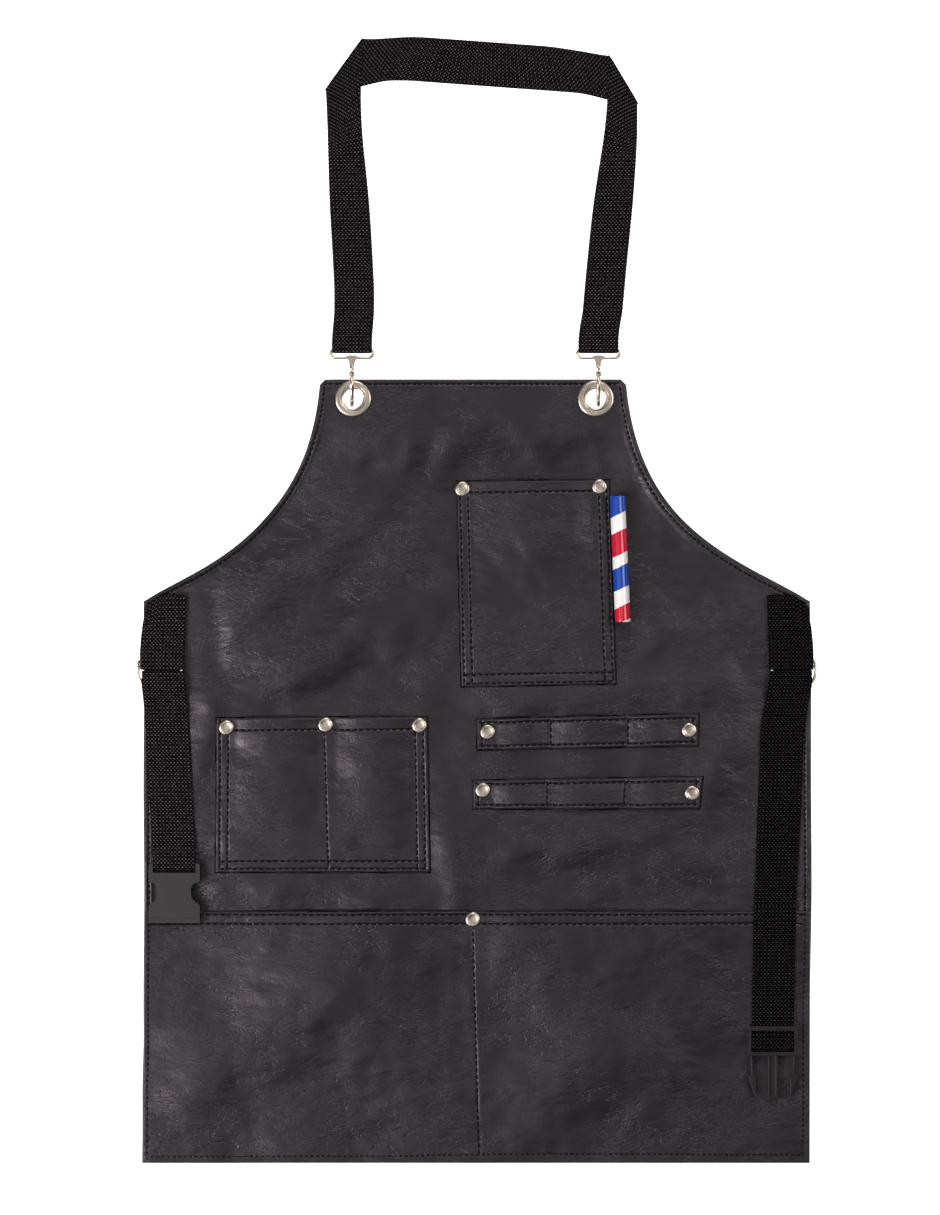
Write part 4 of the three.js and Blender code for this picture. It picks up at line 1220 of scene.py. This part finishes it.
def leather_group():
    """Faux leather, heights in millimetres: soft crumples, thin creases in patches and pebbled grain."""
    inputs = {"Vector": "Vector", "Colour": "Color", "Worn colour": "Color"}
    tree, given, out = new_group("Leather grain", inputs, SHADED)
    vector = given["Vector"]
    cells = node(tree, "ShaderNodeTexVoronoi", {"Vector": vector, "Scale": 640.0}, feature="SMOOTH_F1")
    pebble = Value(tree, cells.outputs["Distance"])
    fine = noise(tree, vector, 1500.0, 2.0)
    crumple = noise(tree, vector, 13.0, 2.0, 0.45)
    slanted = drawn_out(tree, vector, -0.7, (1.0, 2.2, 1.0))
    small = noise(tree, slanted, 30.0, 2.0, 0.5)
    crease = stepped(abs(noise(tree, slanted, 34.0, 4.0, 0.62, 0.25) - 0.5), 0.035, 0.0)
    crease = crease * stepped(noise(tree, vector, 11.0, 2.0, 0.5), 0.42, 0.62)
    stretched = drawn_out(tree, vector, 0.45, (0.9, 3.6, 1.0))
    hair = stepped(abs(noise(tree, stretched, 120.0, 3.0, 0.6, 0.2) - 0.5), 0.06, 0.0)
    hair = hair * stepped(noise(tree, vector, 14.0, 1.0), 0.45, 0.62)
    height = 0.07 * fine - 0.13 * pebble + 6.5 * crumple + 1.5 * small - 0.26 * crease - 0.13 * hair
    wear = clamped(0.75 * stepped(noise(tree, vector, 5.0, 4.0, 0.55), 0.35, 0.7) + 0.25 * fine)
    wire(tree, blended(tree, wear, given["Colour"], given["Worn colour"]), out["Colour"])
    wire(tree, 0.3 + 0.16 * noise(tree, vector, 45.0, 3.0), out["Roughness"])
    wire(tree, height, out["Height"])
    return tree


def weave_group():
    """Polypropylene webbing from its own lay in millimetres: rows of slanted rounded floats, each row half
    a step from the next. Its colour is painted light: painted sheen brightest on each float's crest, painted
    shade on the dark ground between the floats, and every other row with less painted sheen."""
    inputs = {"Lay": "Vector", "Vector": "Vector", "Ground": "Color", "Float": "Color"}
    tree, given, out = new_group("Webbing weave", inputs, {"Colour": "Color", "Height": "Float"})
    across, along = split(tree, given["Lay"])
    v = along / 1.75
    row = calc(tree, "FLOOR", v)
    odd = abs(row) % 2.0
    r = calc(tree, "FRACT", v) - 0.5
    u = across / 3.15 + 0.5 * odd
    c = calc(tree, "FRACT", u) - 0.5 + 0.3 * r * (2.0 * odd - 1.0)
    hump = calc(tree, "SQRT", clamped(1.0 - (abs(c / 0.4) ** 2.0 + abs(r / 0.52) ** 2.0)))
    cell = node(tree, "ShaderNodeCombineXYZ", {"X": calc(tree, "FLOOR", u), "Y": row}).outputs[0]
    chance = node(tree, "ShaderNodeTexWhiteNoise", {"Vector": cell}, noise_dimensions="2D")
    # How much painted sheen each float's crest gets, less on every other row; the rest shows the ground's
    # painted shade.
    strong = 0.6 + 0.4 * Value(tree, chance.outputs["Value"]) - 0.45 * odd
    share = clamped(hump**5.0 * strong)
    long = node(tree, "ShaderNodeVectorMath", {0: given["Lay"], 1: (3.4, 0.5, 1.0)}, operation="MULTIPLY")
    fibre = noise(tree, long.outputs[0], 1.6, 2.0)
    wire(tree, blended(tree, share, given["Ground"], given["Float"]), out["Colour"])
    wire(tree, hump + 0.3 * fibre, out["Height"])
    return tree


def metal_group():
    """Nickel plate that has been handled: slow changes of shine, fine scratches and a few dull specks."""
    inputs = {"Vector": "Vector", "Colour": "Color", "Dull colour": "Color"}
    tree, given, out = new_group("Handled nickel", inputs, SHADED)
    slow = noise(tree, given["Vector"], 160.0, 3.0)
    fine = noise(tree, given["Vector"], 900.0, 3.0, 0.6)
    specks = stepped(noise(tree, given["Vector"], 520.0, 2.0), 0.66, 0.74)
    dull = clamped(0.6 * stepped(slow, 0.4, 0.75) + 0.5 * specks)
    wire(tree, blended(tree, dull, given["Colour"], given["Dull colour"]), out["Colour"])
    wire(tree, 0.2 * slow + 0.12 * fine + 0.16, out["Roughness"])
    wire(tree, 0.6 * slow + 0.12 * fine, out["Height"])
    return tree


def plastic_group():
    """Moulded plastic: a very fine spark-eroded texture with soft scuffs."""
    inputs = {"Vector": "Vector", "Colour": "Color", "Scuffed colour": "Color"}
    tree, given, out = new_group("Moulded plastic", inputs, SHADED)
    scuff = stepped(noise(tree, given["Vector"], 130.0, 4.0, 0.65), 0.5, 0.75)
    wire(tree, blended(tree, scuff, given["Colour"], given["Scuffed colour"]), out["Colour"])
    wire(tree, 0.4 + 0.06 * scuff, out["Roughness"])
    wire(tree, noise(tree, given["Vector"], 2600.0, 2.0), out["Height"])
    return tree


def new_material(name, **sockets):
    """A material with one Principled shader; sockets holds its constants, _ standing for a space."""
    made = bpy.data.materials.new(name)
    made.use_nodes = True
    tree = made.node_tree
    tree.nodes.clear()
    shader = tree.nodes.new("ShaderNodeBsdfPrincipled")
    surface = tree.nodes.new("ShaderNodeOutputMaterial")
    tree.links.new(shader.outputs[0], surface.inputs["Surface"])
    for label, value in sockets.items():
        shader.inputs[label.replace("_", " ")].default_value = value
    return made, tree, shader


def grouped(made, group, colours, relief, distance):
    """Wires a shared effect into a new material: colour, roughness if it has one, height as a bump."""
    material, tree, shader = made
    place = tree.nodes.new("ShaderNodeTexCoord")
    effect = node(tree, "ShaderNodeGroup", node_tree=group)
    wire(tree, place.outputs["Object"], effect.inputs["Vector"])
    if "Lay" in effect.inputs:
        wire(tree, place.outputs["UV"], effect.inputs["Lay"])
    for label, colour in colours.items():
        effect.inputs[label].default_value = (*colour, 1.0)
    wire(tree, effect.outputs["Colour"], shader.inputs["Base Color"])
    if "Roughness" in effect.outputs:
        wire(tree, effect.outputs["Roughness"], shader.inputs["Roughness"])
    raised = {"Strength": relief, "Distance": distance, "Height": effect.outputs["Height"]}
    wire(tree, node(tree, "ShaderNodeBump", raised).outputs[0], shader.inputs["Normal"])
    return material


def shade(colour, factor):
    return tuple(min(1.0, c * factor) for c in colour)


def stripes_material(s):
    """Bands of colour on a slant round the tube, from how far along it and across it a point lies."""
    made, tree, shader = new_material("stripes", Roughness=0.22, Coat_Weight=0.3)
    place = node(tree, "ShaderNodeTexCoord").outputs["UV"]
    across, along = split(tree, place)
    along = along + 0.443 * across + 1.4 * (noise(tree, place, 0.22, 1.0) - 0.5)
    ramp = node(tree, "ShaderNodeValToRGB", {"Fac": along / TUBE_LENGTH})
    ramp.color_ramp.interpolation = "CONSTANT"
    starts = (0.0, 0.147, 0.281, 0.462, 0.5575, 0.733, 0.868, 0.994)
    colours = (s.blue_colour, s.white_colour, s.red_colour, s.white_colour) * 2
    stops = ramp.color_ramp.elements
    while len(stops) < len(starts):
        stops.new(0.5)
    for stop, start in zip(stops, starts):
        stop.position = start
    for stop, colour in zip(stops, colours):
        stop.color = (*colour, 1)
    wire(tree, ramp.outputs["Color"], shader.inputs["Base Color"])
    return made


def make_materials():
    s = bpy.context.scene.apron_settings
    leather, weave, metal, plastic = leather_group(), weave_group(), metal_group(), plastic_group()
    made = {}
    tones = {"Colour": s.leather_colour, "Worn colour": shade(s.leather_colour, 1.5)}
    fresh = new_material("leather", Specular_Tint=(1.0, 0.86, 0.95, 1))
    made["leather"] = grouped(fresh, leather, tones, 1.0, 0.001)
    for name, colour, rough, gloss in (
        ("lining", shade(s.leather_colour, 0.8), 0.92, 0.5),
        # The panels' rims: the raw cut edge, near-black and dull, as a painted shadow line.
        ("cut_edge", (0.001, 0.001, 0.001), 0.95, 0.02),
        ("thread", s.thread_colour, 0.8, 0.15),
    ):
        fresh = new_material(name, Base_Color=(*colour, 1), Roughness=rough, Specular_IOR_Level=gloss)
        made[name] = fresh[0]
    # Both webbings paint their light, with painted sheen on the float crests and painted shade on the
    # ground; the second, for the right-hand straps and tab, has darker floats as painted shade.
    for name, lit in (("webbing", 14.0), ("webbing_back", 6.0)):
        tones = {"Ground": shade(s.webbing_colour, 0.1), "Float": shade(s.webbing_colour, lit)}
        fresh = new_material(name, Roughness=0.85, Specular_IOR_Level=0.02)
        made[name] = grouped(fresh, weave, tones, 1.0, 0.0007)
    tones = {"Colour": s.metal_colour, "Dull colour": shade(s.metal_colour, 0.75)}
    made["nickel"] = grouped(new_material("nickel", Metallic=1.0), metal, tones, 0.12, 0.0002)
    # The second plastic is the same one, darker and less glossy, as painted shade on the prong half.
    for name, gloss, lit in (("plastic", 0.5, 1.0), ("plastic_prong", 0.4, 0.6)):
        colour = shade(s.plastic_colour, lit)
        tones = {"Colour": colour, "Scuffed colour": shade(s.plastic_colour, 1.25 * lit)}
        fresh = new_material(name, Specular_IOR_Level=gloss)
        made[name] = grouped(fresh, plastic, tones, 0.2, 0.00005)
    made["stripes"] = stripes_material(s)
    for name, material in made.items():
        material["apron"] = name
    return made


def build_materials():
    """Every material of the object, by name. They are made once and found again after that."""
    found = {material["apron"]: material for material in bpy.data.materials if "apron" in material}
    return found or make_materials()


# ---------------------------------------------------------------- the stage
def make_stage():
    """A white floor that gives off a little light, five area lamps, and the camera straight above."""
    scene = bpy.context.scene
    mesh = bpy.data.meshes.new("floor")
    size, low = 4.0, -0.0012
    corners = [(-size, -size, low), (size, -size, low), (size, size, low), (-size, size, low)]
    mesh.from_pydata(corners, [], [(0, 1, 2, 3)])
    glow = {"Emission_Color": (1, 1, 1, 1), "Emission_Strength": 1.05}
    pale = new_material("pale floor", Base_Color=(0.9, 0.9, 0.9, 1), Roughness=0.9, **glow)[0]
    mesh.materials.append(pale)
    floor = bpy.data.objects.new("floor", mesh)
    scene.collection.objects.link(floor)
    world = bpy.data.worlds.new("studio")
    scene.world = world
    world.use_nodes = True
    sky = world.node_tree.nodes["Background"]
    sky.inputs["Color"].default_value = (1.0, 1.0, 1.0, 1)
    sky.inputs["Strength"].default_value = 0.05
    lamps = (
        ("key", (-1.7, -0.9, 1.8), 1.2, 62.0),
        ("fill", (1.8, 0.5, 2.1), 1.3, 26.0),
        ("back", (0.1, 2.1, 1.8), 1.1, 26.0),
        ("softbox", (-1.0, -0.8, 4.7), 2.4, 16.0),
        ("softbox_far", (0.35, 1.3, 4.8), 1.7, 6.0),
    )
    for name, place, size, power in lamps:
        light = bpy.data.lights.new(name, "AREA")
        light.shape = "RECTANGLE"
        light.size = size
        light.size_y = size
        light.energy = power
        lamp = bpy.data.objects.new(name, light)
        lamp.location = place
        lamp.rotation_euler = (-Vector(place)).to_track_quat("-Z", "Y").to_euler()
        scene.collection.objects.link(lamp)
    lens = bpy.data.cameras.new("camera")
    lens.sensor_width = 36
    lens.lens = 132.4
    lens.clip_start = 0.1
    lens.clip_end = 40
    camera = bpy.data.objects.new("camera", lens)
    camera.location = (-0.0060, -0.0070, 4.0)
    scene.collection.objects.link(camera)
    scene.camera = camera
    scene.view_settings.view_transform = "Standard"


# ---------------------------------------------------------------- settings, operators and panel
def colour(name, description, default):
    return FloatVectorProperty(
        name=name, description=description, default=default, subtype="COLOR", size=3, min=0.0, max=1.0
    )


class ApronSettings(bpy.types.PropertyGroup):
    """Sizes and colours that the pieces are built from"""

    fold_height: FloatProperty(
        name="Fold height",
        description="Height of the leather's largest waves; its folds scale with it",
        default=0.001,
        min=0.0,
        max=0.003,
        unit="LENGTH",
    )
    pocket_swell: FloatProperty(
        name="Pocket swell",
        description="How far the mouth of the chest pocket stands off the body",
        default=0.0045,
        min=0.0,
        max=0.01,
        unit="LENGTH",
    )
    thread_radius: FloatProperty(
        name="Thread radius",
        description="Radius of the sewing thread",
        default=0.0008,
        min=0.0002,
        max=0.001,
        unit="LENGTH",
    )
    leather_colour: colour("Leather", "The faux leather", (0.0075, 0.0062, 0.0072))
    thread_colour: colour("Thread", "The sewing thread", (0.003, 0.0026, 0.003))
    webbing_colour: colour("Webbing", "The webbing's yarn", (0.0118, 0.0093, 0.0104))
    metal_colour: colour("Nickel", "Rivets, eyelets, rings and hooks", (0.64, 0.55, 0.46))
    plastic_colour: colour("Plastic", "The buckle", (0.0135, 0.0098, 0.0115))
    blue_colour: colour("Blue stripe", "The tube's blue bands", (0.006, 0.05, 0.36))
    white_colour: colour("White stripe", "The tube's white bands", (0.86, 0.82, 0.8))
    red_colour: colour("Red stripe", "The tube's red bands", (0.56, 0.004, 0.03))


class APRON_OT_body(bpy.types.Operator):
    """Build the leather body with its turned hems"""

    bl_idname = "apron.body"
    bl_label = "Body"

    def execute(self, context):
        piece = make_body(build_materials())
        return {"FINISHED"}


class APRON_OT_panels(bpy.types.Operator):
    """Build the pockets and the two strips of tool loops"""

    bl_idname = "apron.panels"
    bl_label = "Pockets and loops"

    def execute(self, context):
        make_panels(build_materials())
        return {"FINISHED"}


class APRON_OT_stitching(bpy.types.Operator):
    """Sew the hems and the panels"""

    bl_idname = "apron.stitching"
    bl_label = "Stitching"

    def execute(self, context):
        make_stitching(build_materials())
        return {"FINISHED"}


class APRON_OT_rivets(bpy.types.Operator):
    """Set the rivets at the pocket corners and the loop ends"""

    bl_idname = "apron.rivets"
    bl_label = "Rivets"

    def execute(self, context):
        make_rivets(build_materials())
        return {"FINISHED"}


class APRON_OT_eyelets(bpy.types.Operator):
    """Set the two eyelets and their washers"""

    bl_idname = "apron.eyelets"
    bl_label = "Eyelets"

    def execute(self, context):
        make_eyelets(build_materials())
        return {"FINISHED"}


class APRON_OT_hooks(bpy.types.Operator):
    """Build the two swivel snap hooks with their gates and eyes"""

    bl_idname = "apron.hooks"
    bl_label = "Snap hooks"

    def execute(self, context):
        make_hooks(build_materials())
        return {"FINISHED"}


class APRON_OT_neck_strap(bpy.types.Operator):
    """Fold the neck strap from one strip of webbing"""

    bl_idname = "apron.neck_strap"
    bl_label = "Neck strap"

    def execute(self, context):
        make_neck_strap(build_materials())
        return {"FINISHED"}


class APRON_OT_waist_straps(bpy.types.Operator):
    """Build the waist straps, the side tabs and their rings"""

    bl_idname = "apron.waist_straps"
    bl_label = "Waist straps"

    def execute(self, context):
        make_waist_straps(build_materials())
        return {"FINISHED"}


class APRON_OT_buckle(bpy.types.Operator):
    """Build both halves of the side-release buckle"""

    bl_idname = "apron.buckle"
    bl_label = "Buckle"

    def execute(self, context):
        make_buckle(build_materials())
        return {"FINISHED"}


class APRON_OT_tube(bpy.types.Operator):
    """Build the striped tube beside the chest pocket"""

    bl_idname = "apron.tube"
    bl_label = "Striped tube"

    def execute(self, context):
        make_tube(build_materials())
        return {"FINISHED"}


class APRON_OT_stage(bpy.types.Operator):
    """Set up the floor, the lights and the camera"""

    bl_idname = "apron.stage"
    bl_label = "Stage"

    def execute(self, context):
        make_stage()
        return {"FINISHED"}


OPERATORS = (
    APRON_OT_stage,
    APRON_OT_body,
    APRON_OT_panels,
    APRON_OT_stitching,
    APRON_OT_rivets,
    APRON_OT_eyelets,
    APRON_OT_hooks,
    APRON_OT_neck_strap,
    APRON_OT_waist_straps,
    APRON_OT_buckle,
    APRON_OT_tube,
)


class APRON_PT_panel(bpy.types.Panel):
    """Lists the settings and one button for each piece"""

    bl_idname = "APRON_PT_panel"
    bl_label = "Apron"
    bl_space_type = "VIEW_3D"
    bl_region_type = "UI"
    bl_category = "Apron"

    def draw(self, context):
        for name in ApronSettings.__annotations__:
            self.layout.prop(context.scene.apron_settings, name)
        for operator in OPERATORS:
            self.layout.operator(operator.bl_idname)


CLASSES = (ApronSettings, *OPERATORS, APRON_PT_panel)


def register():
    for made in CLASSES:
        bpy.utils.register_class(made)
    bpy.types.Scene.apron_settings = PointerProperty(type=ApronSettings)


def unregister():
    del bpy.types.Scene.apron_settings
    for made in reversed(CLASSES):
        bpy.utils.unregister_class(made)


def main():
    register()
    for operator in OPERATORS:
        section, action = operator.bl_idname.split(".")
        getattr(getattr(bpy.ops, section), action)()
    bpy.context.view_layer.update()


if __name__ == "__main__":
    main()
